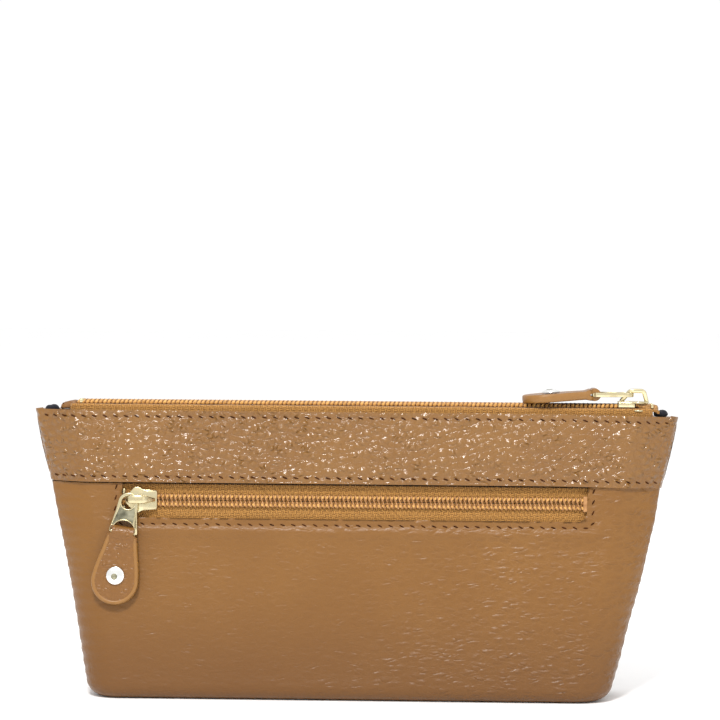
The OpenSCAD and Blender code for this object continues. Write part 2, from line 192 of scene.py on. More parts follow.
def pebble_height(tree, place, cell, stretch=(0.85, 1.0, 1.1), warp=1.3):
    """Rounded pebbles with creases between them, from 0 in a crease to 1 on a pebble, at any place. The same
    steps move the mesh and colour the surface, so both agree."""
    scaled = vector_math(tree, "SCALE", place, 1 / cell)
    flat = vector_math(tree, "MULTIPLY", scaled, stretch)
    noise = add(tree, "ShaderNodeTexNoise", {"Vector": flat, "Scale": 0.6, "Detail": 2.0, "Roughness": 0.6})
    centred = vector_math(tree, "SUBTRACT", noise.outputs["Color"], (0.5, 0.5, 0.5))
    warped = vector_math(tree, "ADD", flat, vector_math(tree, "SCALE", centred, warp))
    near = add(tree, "ShaderNodeTexVoronoi", {"Vector": warped, "Scale": 1.0, "Randomness": 1.0},
               feature="F1")
    edge = add(tree, "ShaderNodeTexVoronoi", {"Vector": warped, "Scale": 1.0, "Randomness": 1.0},
               feature="DISTANCE_TO_EDGE")
    dome = map_range(tree, near.outputs["Distance"], 0.0, 0.62, 1.0, 0.0, smooth=True)
    crease = map_range(tree, edge.outputs["Distance"], -0.05, 0.17, 0.0, 1.0, smooth=True)
    mixed = math_node(tree, "ADD", math_node(tree, "MULTIPLY", dome, 0.8), 0.2)
    return math_node(tree, "MULTIPLY", crease, mixed)


# %% [markdown]
# ## Materials
# Each finish is procedural. Patterns read Object coordinates, which are metres here because every piece
# keeps its place in its mesh, so the same pebble, thread or weave has its real size on every piece.

# %% Material helper and the leathers


def new_material(name, **sockets):
    """A material with a Principled shader whose own sockets are set by name."""
    material = bpy.data.materials.new(name)
    material.use_nodes = True
    tree = material.node_tree
    shader = tree.nodes["Principled BSDF"]
    for key, value in sockets.items():
        shader.inputs[key.replace("_", " ")].default_value = value
    return material, tree, shader


def object_place(tree):
    """The surface point's place in metres."""
    return add(tree, "ShaderNodeTexCoord").outputs["Object"]


def mix_colour(tree, factor, a, b, blend="MIX"):
    """Blends colour a into colour b by a factor from 0 to 1."""
    node = add(tree, "ShaderNodeMix", {0: factor, 6: a, 7: b}, data_type="RGBA", blend_type=blend)
    return node.outputs[2]


def set_bump(tree, shader, height, distance, strength=1.0):
    """Tilts the shader's normal by a height field, and returns the tilted normal."""
    bump = add(tree, "ShaderNodeBump", {"Strength": strength, "Distance": distance, "Height": height})
    tree.links.new(bump.outputs["Normal"], shader.inputs["Normal"])
    return bump.outputs["Normal"]


def leather(name, cell, body, crease, low=None, stretch=(0.85, 1.0, 1.1), relief=0.3, livelier=None,
            shine=0.3, coat_roughness=0.17, specular=0.4, warp=1.3, crinkle=0.65):
    """Pebbled leather: warm tan, shifting toward the crease colour in broad soft patches. In the creases that
    colour is painted light: painted shade where it is darker than the body, a painted highlight where it is
    lighter. With low, painted shade darkens it towards the bottom. The clear finish on top is a thin coat, and
    it gives the small sharp highlights."""
    material, tree, shader = new_material(name, Specular_IOR_Level=specular, Coat_Weight=shine,
                                          Coat_Roughness=coat_roughness)
    place = object_place(tree)
    pebbles = pebble_height(tree, place, cell, stretch, warp)
    patches = add(tree, "ShaderNodeTexNoise", {"Vector": place, "Scale": 38.0, "Detail": 3.0}).outputs["Fac"]
    fine = add(tree, "ShaderNodeTexNoise", {"Vector": place, "Scale": 1500.0, "Detail": 3.0}).outputs["Fac"]
    pores = add(tree, "ShaderNodeTexVoronoi", {"Vector": place, "Scale": 2100.0},
                feature="F1").outputs["Distance"]
    wrinkles = add(tree, "ShaderNodeTexNoise",
                   {"Vector": vector_math(tree, "MULTIPLY", place, (0.55, 1.0, 1.5)),
                    "Scale": 620.0, "Detail": 4.0, "Roughness": 0.62}).outputs["Fac"]
    strength = map_range(tree, patches, 0.38, 0.62, 0.55, 1.0, smooth=True)
    if livelier is not None:
        side = add(tree, "ShaderNodeSeparateXYZ", {0: place}).outputs["X"]
        strength = math_node(tree, "MULTIPLY", strength,
                             map_range(tree, side, *livelier, 0.35, 1.0, smooth=True))
    # Painted light in the creases: where the pebbles are low the crease colour is mixed in, painted shade on
    # the band and tab, a painted highlight on the panel.
    crease_light_and_shade = math_node(tree, "MULTIPLY", map_range(tree, pebbles, 0.0, 0.4, 1.0, 0.0), strength)
    colour = mix_colour(tree, math_node(tree, "MULTIPLY", crease_light_and_shade, 0.45), body, crease)
    colour = mix_colour(tree, map_range(tree, patches, 0.35, 0.7, 0.0, 0.3), colour, crease)
    # Painted shade: below about two thirds of the seam's height the colour darkens toward low, most at the
    # base.
    if low is not None:
        height = add(tree, "ShaderNodeSeparateXYZ", {0: place}).outputs["Z"]
        colour = mix_colour(tree, map_range(tree, height, 0.62 * seam_z, 0.0, 0.0, 0.75, smooth=True),
                            colour, low)
    tree.links.new(colour, shader.inputs["Base Color"])
    tree.links.new(map_range(tree, fine, 0.35, 0.65, 0.36, 0.52), shader.inputs["Roughness"])
    grain = math_node(tree, "MULTIPLY", pebbles, strength)
    grain = math_node(tree, "ADD", grain, math_node(tree, "MULTIPLY", wrinkles, crinkle))
    grain = math_node(tree, "ADD", grain, math_node(tree, "MULTIPLY", fine, 0.16))
    grain = math_node(tree, "ADD", grain, math_node(tree, "MULTIPLY", pores, 0.05))
    bump = set_bump(tree, shader, grain, relief * MM)
    tree.links.new(bump, shader.inputs["Coat Normal"])
    return material


# The second colour of each leather is its crease colour: darker than the body on the band and tab, as painted
# shade in the creases, and lighter on the panel, as a painted highlight along them.
band_cell, panel_cell, tab_cell = 2.2 * MM, 2.5 * MM, 1.6 * MM
band_leather = leather("band_leather", band_cell, (0.192, 0.085, 0.0118, 1), (0.140, 0.056, 0.007, 1),
                       relief=0.6, shine=0.55, coat_roughness=0.11, specular=0.3, warp=0.55, crinkle=0.18)
panel_leather = leather("panel_leather", panel_cell, (0.160, 0.065, 0.0072, 1), (0.205, 0.091, 0.015, 1),
                        # low is painted shade, the panel darker towards the bottom.
                        low=(0.108, 0.040, 0.0042, 1), stretch=(0.62, 1.0, 1.35), relief=0.24,
                        livelier=(-30 * MM, 60 * MM), shine=0.22, coat_roughness=0.3, specular=0.3)
tab_leather = leather("tab_leather", tab_cell, (0.178, 0.073, 0.0088, 1), (0.135, 0.051, 0.0055, 1),
                      relief=0.24, shine=0.25, specular=0.35)


def edge_paint():
    """Acrylic paint that seals a cut edge: lighter than the leather, and slightly wavy."""
    material, tree, shader = new_material("edge_paint", Roughness=0.42)
    place = object_place(tree)
    streaks = add(tree, "ShaderNodeTexNoise",
                  {"Vector": place, "Scale": 900.0, "Detail": 2.0}).outputs["Fac"]
    tree.links.new(mix_colour(tree, streaks, (0.205, 0.090, 0.014, 1), (0.250, 0.117, 0.024, 1)),
                   shader.inputs["Base Color"])
    set_bump(tree, shader, streaks, 0.05 * MM)
    return material


paint = edge_paint()

# %% [markdown]
# Cloth is threads that pass over and under each other. Two sets of fine waves at right angles, one for the
# warp and one for the weft, show that weave at the size of real thread. The zip tape is golden and coarse,
# the lining dark and fine.

# %% Cloth, thread and coil


def cloth(name, light, dark, thread, turned=(0, 0, 0), sheen=0.2, relief=0.12):
    """A plain weave with threads of the given width, in two shades."""
    material, tree, shader = new_material(name, Roughness=0.85, Sheen_Weight=sheen, Specular_IOR_Level=0.25)
    place = add(tree, "ShaderNodeMapping",
                {"Vector": object_place(tree), "Rotation": turned}).outputs["Vector"]
    waves = [
        add(tree, "ShaderNodeTexWave", {"Vector": place, "Scale": 0.31 / thread, "Distortion": 0.6,
                                        "Detail": 1.0, "Detail Scale": 2.0},
            wave_type="BANDS", bands_direction=direction).outputs["Fac"]
        for direction in ("X", "Z")
    ]
    checks = add(tree, "ShaderNodeTexChecker", {"Vector": place, "Scale": 0.5 / thread}).outputs["Fac"]
    weave = add(tree, "ShaderNodeMix", {0: checks, 2: waves[0], 3: waves[1]}).outputs[0]
    fuzz = add(tree, "ShaderNodeTexNoise",
               {"Vector": place, "Scale": 0.8 / thread, "Detail": 2.0}).outputs["Fac"]
    shade = math_node(tree, "ADD", math_node(tree, "MULTIPLY", weave, 0.6),
                      math_node(tree, "MULTIPLY", fuzz, 0.5))
    tree.links.new(mix_colour(tree, map_range(tree, shade, 0.2, 0.85), dark, light),
                   shader.inputs["Base Color"])
    set_bump(tree, shader, shade, relief * MM)
    return material


tape_cloth = cloth("tape_cloth", (0.50, 0.25, 0.062, 1), (0.17, 0.070, 0.010, 1), 0.5 * MM, relief=0.3)
lining_cloth = cloth("lining_cloth", (0.013, 0.014, 0.022, 1), (0.005, 0.005, 0.009, 1), 0.22 * MM,
                     sheen=0.15, relief=0.05)


def strand(name, light, dark, roughness, twist=None, sheen=0.0, gloss=0.5):
    """Thread or nylon: two shades along it, with fine slanted fibres where it is twisted."""
    material, tree, shader = new_material(name, Roughness=roughness, Sheen_Weight=sheen,
                                          Specular_IOR_Level=gloss)
    place = object_place(tree)
    noise = add(tree, "ShaderNodeTexNoise", {"Vector": place, "Scale": 700.0, "Detail": 2.0}).outputs["Fac"]
    tree.links.new(mix_colour(tree, map_range(tree, noise, 0.3, 0.7), dark, light),
                   shader.inputs["Base Color"])
    if twist:
        turned = add(tree, "ShaderNodeMapping", {"Vector": place, "Rotation": (0, math.radians(40), 0)})
        fibres = add(tree, "ShaderNodeTexWave", {"Vector": turned.outputs["Vector"], "Scale": 0.31 / twist,
                                                 "Distortion": 0.5})
        set_bump(tree, shader, fibres.outputs["Fac"], 0.06 * MM)
    else:
        set_bump(tree, shader, noise, 0.02 * MM)
    return material


# The seam thread is near-black brown: painted shade of the needle holes and the dips where the thread sinks,
# put on the thread dashes.
seam_thread_painted_shade = strand("seam_thread_painted_shade", (0.070, 0.021, 0.006, 1), (0.024, 0.007, 0.002, 1), 0.85,
                     twist=0.22 * MM, gloss=0.08)
coil_thread = strand("coil_thread", (0.74, 0.40, 0.10, 1), (0.50, 0.24, 0.045, 1), 0.55, twist=0.15 * MM,
                     sheen=0.2)
coil_nylon = strand("coil_nylon", (0.40, 0.20, 0.07, 1), (0.25, 0.11, 0.03, 1), 0.38)

# %% [markdown]
# The slider, bail and pulls are zinc castings with a pale gold plating. Metal shows mostly what it mirrors,
# so it gets a full metallic shader, soft handling marks in its roughness, and a darker oxide in the sunk
# panel.

# %% Metals


def metal(name, colour, dull, roughness=(0.16, 0.34), relief=0.015):
    """Plated metal with faint wear in its gloss and a slight change of tone."""
    material, tree, shader = new_material(name, Metallic=1.0)
    place = object_place(tree)
    wear = add(tree, "ShaderNodeTexNoise", {"Vector": place, "Scale": 420.0, "Detail": 4.0}).outputs["Fac"]
    tree.links.new(mix_colour(tree, map_range(tree, wear, 0.35, 0.75), colour, dull),
                   shader.inputs["Base Color"])
    tree.links.new(map_range(tree, wear, 0.3, 0.7, *roughness), shader.inputs["Roughness"])
    set_bump(tree, shader, wear, relief * MM)
    return material


pale_gold = metal("pale_gold", (0.68, 0.60, 0.38, 1), (0.50, 0.42, 0.24, 1))
dark_olive_metal = metal("dark_olive_metal", (0.13, 0.125, 0.085, 1), (0.36, 0.34, 0.24, 1), roughness=(0.3, 0.5),
                   relief=0.1)
nickel = metal("nickel", (0.90, 0.90, 0.88, 1), (0.80, 0.80, 0.78, 1), roughness=(0.14, 0.26))


def card():
    """Grey-brown board that stiffens the base."""
    material, tree, shader = new_material("board_card", Roughness=0.9)
    fibres = add(tree, "ShaderNodeTexNoise", {"Vector": object_place(tree), "Scale": 300.0, "Detail": 4.0})
    tree.links.new(mix_colour(tree, fibres.outputs["Fac"], (0.30, 0.25, 0.17, 1), (0.46, 0.40, 0.29, 1)),
                   shader.inputs["Base Color"])
    set_bump(tree, shader, fibres.outputs["Fac"], 0.05 * MM)
    return material


board_card = card()
print("materials", len(bpy.data.materials))

# %% [markdown]
# ## Helpers for meshes
# Leather and cloth pieces start as one grid of points, the outer face. Solidify gives the grid its thickness
# and Bevel rolls its edges. `settle` then turns the result into a plain mesh.

# %% Mesh helpers


def mesh_object(name, points, faces, *materials):
    """A smooth mesh object with its place in its mesh."""
    mesh = bpy.data.meshes.new(name)
    mesh.from_pydata([tuple(p) for p in points], [], [tuple(f) for f in faces])
    mesh.shade_smooth()
    for material in materials:
        mesh.materials.append(material)
    obj = bpy.data.objects.new(name, mesh)
    bpy.context.scene.collection.objects.link(obj)
    return obj


def grid_faces(rows, columns, skip=None, closed=False):
    """Quads of a grid, without those where skip is true. closed joins the last column to the first."""
    faces = []
    for i in range(rows - 1):
        for j in range(columns if closed else columns - 1):
            k = (j + 1) % columns
            if skip is None or not skip[i, j]:
                faces.append((i * columns + j, i * columns + k, (i + 1) * columns + k,
                              (i + 1) * columns + j))
    return faces


def face_outwards(data):
    """Turns every face of a closed piece outwards."""
    work = bmesh.new()
    work.from_mesh(data)
    bmesh.ops.recalc_face_normals(work, faces=work.faces)
    work.to_mesh(data)
    work.free()


def grid_object(name, grid, *materials, skip=None, flip=False, calm=None):
    """A sheet from a rows x columns x 3 array, without the corners that no face uses. calm marks where its
    grain is pressed flat: 1 keeps a point still, 0 lets it move."""
    rows, columns = grid.shape[:2]
    faces = grid_faces(rows, columns, skip)
    if flip:
        faces = [f[::-1] for f in faces]
    used = sorted({v for f in faces for v in f})
    renamed = {v: i for i, v in enumerate(used)}
    obj = mesh_object(name, grid.reshape(-1, 3)[used], [[renamed[v] for v in f] for f in faces], *materials)
    if calm is not None:
        stored = obj.data.attributes.new("calm", "FLOAT", "POINT")
        stored.data.foreach_set("value", np.clip(calm, 0, 1).reshape(-1)[used].astype(np.float32))
    return obj


def settle(obj):
    """The evaluated object as a plain mesh, with no modifier left."""
    graph = bpy.context.evaluated_depsgraph_get()
    mesh = bpy.data.meshes.new_from_object(obj.evaluated_get(graph))
    obj.modifiers.clear()
    obj.data = mesh
    return obj


def thicken(obj, thickness, roll=0.0, segments=3, rim=0):
    """Solidify inwards, away from the faces' fronts, then a rolled edge."""
    solid = obj.modifiers.new("thickness", "SOLIDIFY")
    solid.thickness, solid.offset, solid.use_even_offset = thickness, -1, True
    solid.material_offset_rim = rim
    if roll:
        bevel = obj.modifiers.new("roll", "BEVEL")
        bevel.width, bevel.segments, bevel.limit_method = roll, segments, "ANGLE"
        bevel.angle_limit = math.radians(50)
        bevel.use_clamp_overlap = True
    return obj


def normals_of(grid):
    """Unit normals of a grid of points, by the cross product of its two directions."""
    across, up = np.gradient(grid, axis=1), np.gradient(grid, axis=0)
    n = np.cross(across, up)
    return n / np.maximum(np.linalg.norm(n, axis=2, keepdims=True), 1e-12)


def show(piece, body, slot, *nodes):
    """A finished piece rides on a body and stands for its CAD nodes, which it hides; its slot is not used."""
    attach(piece, body)
    if nodes:
        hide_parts(*nodes)
    return piece


# %% [markdown]
# ## Geometry Nodes: pebbles on leather
# The grain could be carved by hand or left to the shader's bump. A small tree that moves every point along
# its normal gives real relief, which shows at the silhouette and stays in the mesh, and one tree serves
# all pieces.

# %% Node groups


def node_group(name, sockets):
    """An empty Geometry Nodes group with named inputs, and its first and last node."""
    tree = bpy.data.node_groups.new(name, "GeometryNodeTree")
    tree.interface.new_socket("Geometry", in_out="OUTPUT", socket_type="NodeSocketGeometry")
    for socket_name, kind in sockets:
        tree.interface.new_socket(socket_name, in_out="INPUT", socket_type="NodeSocket" + kind)
    return tree, tree.nodes.new("NodeGroupInput"), tree.nodes.new("NodeGroupOutput")


def end_group(tree, geometry, material, group_out):
    """The last steps of every tree: real geometry with its material."""
    realized = add(tree, "GeometryNodeRealizeInstances", {0: geometry})
    painted = add(tree, "GeometryNodeSetMaterial", {"Geometry": realized.outputs[0], "Material": material})
    tree.links.new(painted.outputs[0], group_out.inputs[0])


def run_group(obj, tree, values):
    """Adds the group as a modifier and sets its inputs by their identifiers."""
    modifier = obj.modifiers.new(tree.name, "NODES")
    modifier.node_group = tree
    for item in tree.interface.items_tree:
        if item.item_type == "SOCKET" and item.in_out == "INPUT" and item.name in values:
            modifier[item.identifier] = values[item.name]
    return obj


def pebble_group():
    """Moves points out on pebbles and in at creases, less where the attribute `calm` is near 1."""
    tree, start, end = node_group("pebble_grain",
                                  [("Geometry", "Geometry"), ("Cell", "Float"), ("Height", "Float"),
                                   ("Warp", "Float")])
    place = add(tree, "GeometryNodeInputPosition").outputs[0]
    calm = add(tree, "GeometryNodeInputNamedAttribute", {"Name": "calm"}, data_type="FLOAT").outputs[0]
    cell = math_node(tree, "DIVIDE", 1.0, start.outputs["Cell"])
    scaled = vector_math(tree, "SCALE", place, cell)
    bump = pebble_height(tree, scaled, 1.0, warp=start.outputs["Warp"])
    lift = math_node(tree, "MULTIPLY", math_node(tree, "SUBTRACT", bump, 0.6), start.outputs["Height"])
    lift = math_node(tree, "MULTIPLY", lift, math_node(tree, "SUBTRACT", 1.0, calm))
    normal = add(tree, "GeometryNodeInputNormal").outputs[0]
    moved = add(tree, "GeometryNodeSetPosition", {"Geometry": start.outputs["Geometry"],
                                                  "Offset": vector_math(tree, "SCALE", normal, lift)})
    tree.links.new(add(tree, "GeometryNodeRealizeInstances", {0: moved.outputs[0]}).outputs[0],
                   end.inputs[0])
    return tree


pebbles = pebble_group()

# %% [markdown]
# ## Geometry Nodes: rows of stitches
# A stitched row is one short dash of thread, repeated at an even pitch along a line on the leather. The tree
# takes the line as loose edges that carry the way out of the surface, walks it at the pitch, and sets one
# slanted dash at every step.

# %% The stitch tree and its lines


def stitch_group():
    """Walks a line at an even pitch and lays one slanted dash of thread at every step."""
    tree, start, end = node_group("stitch_row", [
        ("Geometry", "Geometry"), ("Pitch", "Float"), ("Length", "Float"), ("Width", "Float"),
        ("Slant", "Float"),
        ("Sink", "Float"), ("Seed", "Int"), ("Material", "Material"),
    ])
    curve = add(tree, "GeometryNodeMeshToCurve", {0: start.outputs["Geometry"]})
    steps = add(tree, "GeometryNodeResampleCurve",
                {"Curve": curve.outputs[0], "Length": start.outputs["Pitch"]},
                mode="LENGTH")
    out = add(tree, "GeometryNodeInputNamedAttribute", {"Name": "way_out"},
              data_type="FLOAT_VECTOR").outputs[0]
    tangent = add(tree, "GeometryNodeInputTangent").outputs[0]
    upright = add(tree, "FunctionNodeAlignRotationToVector", {"Vector": out}, axis="Z").outputs[0]
    along = add(tree, "FunctionNodeAlignRotationToVector", {"Rotation": upright, "Vector": tangent},
                axis="X", pivot_axis="Z").outputs[0]
    wander = add(tree, "FunctionNodeRandomValue", {2: -0.12, 3: 0.12, "Seed": start.outputs["Seed"]},
                 data_type="FLOAT").outputs[1]
    angle = math_node(tree, "ADD", start.outputs["Slant"], wander)
    slant = add(tree, "FunctionNodeAxisAngleToRotation", {"Axis": (0, 0, 1), "Angle": angle}).outputs[0]
    turned = add(tree, "FunctionNodeRotateRotation", {"Rotation": along, "Rotate By": slant},
                 rotation_space="LOCAL")
    ball = add(tree, "GeometryNodeMeshUVSphere", {"Segments": 8, "Rings": 6, "Radius": 0.5})
    size = add(tree, "ShaderNodeCombineXYZ", {0: start.outputs["Length"], 1: start.outputs["Width"],
                                              2: start.outputs["Width"]}).outputs[0]
    dash = add(tree, "GeometryNodeTransform", {"Geometry": ball.outputs[0], "Scale": size})
    smooth = add(tree, "GeometryNodeSetShadeSmooth", {0: dash.outputs[0]})
    sunk = add(tree, "GeometryNodeSetPosition", {"Geometry": steps.outputs[0],
                                                 "Offset": vector_math(tree, "SCALE", out,
                                                                       start.outputs["Sink"])})
    dashes = add(tree, "GeometryNodeInstanceOnPoints",
                 {"Points": sunk.outputs[0], "Instance": smooth.outputs[0],
                  "Rotation": turned.outputs[0]})
    end_group(tree, dashes.outputs[0], start.outputs["Material"], end)
    return tree


stitches = stitch_group()


def line_object(name, lines, outs):
    """Loose edges along one or more lines, with the way out of the surface at every point."""
    points = [p for line in lines for p in line]
    edges, first = [], 0
    for line in lines:
        edges += [(first + i, first + i + 1) for i in range(len(line) - 1)]
        first += len(line)
    mesh = bpy.data.meshes.new(name)
    mesh.from_pydata([tuple(p) for p in points], edges, [])
    attribute = mesh.attributes.new("way_out", "FLOAT_VECTOR", "POINT")
    attribute.data.foreach_set("vector", np.array([n for line in outs for n in line], float).ravel())
    obj = bpy.data.objects.new(name, mesh)
    bpy.context.scene.collection.objects.link(obj)
    return obj


stitch_pitch, stitch_length, stitch_width = 3.35 * MM, 1.8 * MM, 0.5 * MM


def stitch_row(name, lines, outs, slant=-0.38, material=None, pitch=stitch_pitch, length=stitch_length,
               width=stitch_width, sink=0.02 * MM, seed=3):
    """Thread along lines, as a plain mesh."""
    obj = run_group(line_object(name, lines, outs), stitches, {
        "Pitch": pitch, "Length": length, "Width": width, "Slant": slant, "Sink": sink, "Seed": seed,
        "Material": material or seam_thread_painted_shade,
    })
    return settle(obj)


# %% [markdown]
# ## The leather shape
# Seen from above, the pouch is a rounded rectangle at its base and a long lens with pointed ends at its
# mouth. The skin between them is found column by column: every column starts on the base outline and ends on
# the mouth's, and a row at some height lies between the two.

# %% The skin between base and mouth
side_columns, corner_columns, front_columns = 8, 12, 232
column_count = 2 * (side_columns + corner_columns) + front_columns + 1


def half_outline(side_part, corner_part, front_part):
    """Joins a left side, a left corner and half a front into the whole front, mirrored at x = 0."""
    left = np.concatenate([side_part[:-1], corner_part[:-1], front_part])
    right = left[-2::-1] * np.array([-1, 1])
    return np.concatenate([left, right])


def line(a, b, count):
    """Even steps from a to b, with both ends."""
    return np.linspace(np.array(a, float), np.array(b, float), count + 1)


def arc(centre, radius, start, stop, count):
    """Even steps along an arc from one angle to another, with both ends."""
    angles = np.linspace(start, stop, count + 1)
    return np.array(centre) + radius * np.stack([np.cos(angles), np.sin(angles)], axis=1)


def outlines(grow):
    """The front half of the outline at the base and at the mouth, grown outwards by an amount."""
    r = max(corner_r + grow, 0.4 * MM)
    cx, cy = base_half_x + grow - r, base_half_y + grow - r
    half_front = front_columns // 2
    base = half_outline(
        line((-cx - r, 0), (-cx - r, -cy), side_columns),
        arc((-cx, -cy), r, math.pi, 1.5 * math.pi, corner_columns),
        line((-cx, -cy - r), (0, -cy - r), half_front),
    )
    tip = max(tip_r + grow, 0.3 * MM)
    tip_x = mouth_half_x - tip_r
    depth = mouth_half_y + grow
    toward = math.atan2(-depth, tip_x - mouth_flat)
    touch = toward - math.acos(tip / math.hypot(tip_x - mouth_flat, depth))
    mouth = half_outline(
        arc((-tip_x, 0), tip, -math.pi, touch, side_columns),
        line((-tip_x + tip * math.cos(touch), tip * math.sin(touch)), (-mouth_flat, -depth), corner_columns),
        line((-mouth_flat, -depth), (0, -depth), half_front),
    )
    return base, mouth


def skin_grid(heights, grows, side):
    """Points of the skin: one row for each height and outward growth, on the front (-1) or the back (1)."""
    rows = []
    for z, grow in zip(heights, grows):
        base, mouth = outlines(grow)
        share = z / top_z
        xy = (1 - share) * base + share * mouth
        rows.append(np.column_stack([xy[:, 0], xy[:, 1] * -side, np.full(len(xy), z)]))
    return np.array(rows)


def outward(grid, side):
    """Normals of a skin grid that point out of the pouch."""
    n = normals_of(grid)
    return -n if side > 0 else n


lean_left = 2.5 * MM


def settle_left(grid):
    """The soft body sits a little to the left of its mouth, more toward the base, and its sides stand out a
    little where the panels are folded round to the seams."""
    moved = grid.copy()
    x, z = moved[..., 0], moved[..., 2]
    down = np.clip(1 - z / seam_z, 0, 1)
    half = base_half_x + (mouth_half_x - base_half_x) * z / top_z
    near_side = np.clip((np.abs(x) / half - 0.86) / 0.14, 0, 1)
    near_side = near_side ** 2 * (3 - 2 * near_side)
    right_swell, left_swell = 1.6 + 1.1 * np.clip(6 * down, 0, 1), 1.6 - 0.8 * down
    swell = np.where(x > 0, right_swell, -left_swell) * np.clip((seam_z + 3 * MM - z) / (3 * MM), 0, 1)
    moved[..., 0] = x - lean_left * down + swell * near_side * MM
    return moved


def bell(x, centre, width):
    """1 at a centre, fading evenly on both sides."""
    return np.exp(-(((x - centre) / width) ** 2))


print("columns", column_count)

# %% [markdown]
# ## Front and back panels
# Each panel is one piece of leather that turns under at the base. Its softness is in the mesh: it is
# slightly fuller low down, it dips along every row of stitches, and it puckers where the side seam gathers
# it. The pocket's window is left out of the front grid, with its lower corners rounded.

# %% Panel shapes
fold_r, fold_in = 4.7 * MM, 7.0 * MM
row_step = 0.75 * MM
window_corner_r = 2.8 * MM
window_stitch = 1.9 * MM


def panel_rows():
    """Heights and growths from under the base, round the fold and up to the seam, with one row at the
    window."""
    under = [(0.35 * MM, -g) for g in np.linspace(fold_in, fold_r, 4)[:-1]]
    angles = np.linspace(math.pi / 2, 0, 9)
    fold = [(fold_r * (1 - math.sin(a)) + 0.12 * MM, -fold_r * (1 - math.cos(a))) for a in angles]
    first = fold[-1][0]
    below = np.linspace(first, window_z, round((window_z - first) / row_step) + 1)[1:]
    above = np.linspace(window_z, panel_head_z, round((panel_head_z - window_z) / row_step) + 1)[1:]
    rows = under + fold + [(z, 0.0) for z in np.concatenate([below, above])]
    heights, grows = zip(*rows)
    return np.array(heights), np.array(grows), len(under) + len(fold) + len(below) - 1


def softness(grid, side):
    """How far each point of a panel stands out of the flat, in metres."""
    x, z = grid[..., 0], grid[..., 2]
    rise = np.clip(z / seam_z, 0, 1)
    full = (0.9 if side > 0 else -0.25) * bell(x, -4 * MM, 62 * MM) * np.sin(np.pi * rise ** 0.7)
    drift = 0.16 * np.sin(x / (13 * MM) + 0.8 * side) * np.sin(z / (9 * MM) + x / (40 * MM)) - 0.12
    reach = np.arange(grid.shape[1])
    from_seam = np.minimum(reach, grid.shape[1] - 1 - reach)[None, :] * np.ones_like(x)
    edge = from_seam / side_columns
    pucker = 0.13 * np.sin(z / (0.56 * MM) + 2.2 * np.sin(z / (7 * MM))
                           + side) * np.exp(-((edge - 1.3) / 0.7) ** 2)
    seam = -0.7 * np.exp(-(edge / 0.28) ** 2)
    toward_right = np.clip(x / base_half_x, 0, 1) ** 6
    wave = 0.5 * toward_right * np.sin(np.pi * rise) * (1 + 0.35 * np.sin(z / (5 * MM)))
    fade = np.clip(rise / 0.12, 0, 1) * np.clip((seam_z - z) / (3 * MM), 0, 1)
    return (full * fade + (drift + pucker + wave) * fade + seam) * MM


def stitch_dip(distance, along, depth=0.22, width=0.7):
    """Leather pulled in along a row of stitches, most at each hole."""
    pull = 0.75 + 0.25 * np.cos(2 * np.pi * along / stitch_pitch)
    return -depth * MM * np.exp(-((distance / (width * MM)) ** 2)) * pull


def window_distance(grid):
    """Distance of each point from the row of stitches round the window."""
    dx = np.abs(grid[..., 0]) - (window_half + window_stitch)
    dz = (window_z - window_stitch) - grid[..., 2]
    outside = np.hypot(np.maximum(dx, 0), np.maximum(dz, 0))
    inside = np.minimum(np.maximum(dx, dz), 0)
    return np.abs(outside + inside)


def window_columns(grid, row):
    """The two columns that run nearest the window's ends, made to run straight up them."""
    left = int(np.argmin(np.abs(grid[row, :, 0] + window_half)))
    right = grid.shape[1] - 1 - left
    reach = 9
    for column, edge in ((left, -window_half), (right, window_half)):
        for i in range(grid.shape[0]):
            fade = np.clip(1 - (grid[row, column, 2] - grid[i, column, 2]) / (9 * MM), 0, 1)
            shift = (edge - grid[max(i, row), column, 0]) * fade
            for j in range(-reach, reach + 1):
                grid[i, column + j, 0] += shift * (1 - abs(j) / (reach + 1))
    return left, right


def round_window(grid, row, left, right):
    """Slides the hole's edge points near its two lower corners onto an arc."""
    r = window_corner_r
    for column, sign in ((left, -1), (right, 1)):
        centre = (sign * (window_half - r), window_z + r)
        upright = [i for i in range(row, grid.shape[0]) if grid[i, column, 2] <= window_z + r]
        beside = sign * grid[row, :, 0]
        level = [j for j in range(grid.shape[1]) if window_half - r <= beside[j] < window_half - hair]
        for i in upright:
            share = 0.5 * (grid[i, column, 2] - window_z) / r
            angle = -math.pi / 4 + share * math.pi / 2
            grid[i, column, 0] = centre[0] + sign * r * math.cos(angle)
            grid[i, column, 2] = centre[1] + r * math.sin(angle)
            grid[i, column, 1] = front_y(grid[i, column, 2])
        for j in level:
            share = 0.5 * (window_half - sign * grid[row, j, 0]) / r
            angle = -math.pi / 4 - share * math.pi / 2
            grid[row, j, 0] = centre[0] + sign * r * math.cos(angle)
            grid[row, j, 2] = centre[1] + r * math.sin(angle)
            grid[row, j, 1] = front_y(grid[row, j, 2])


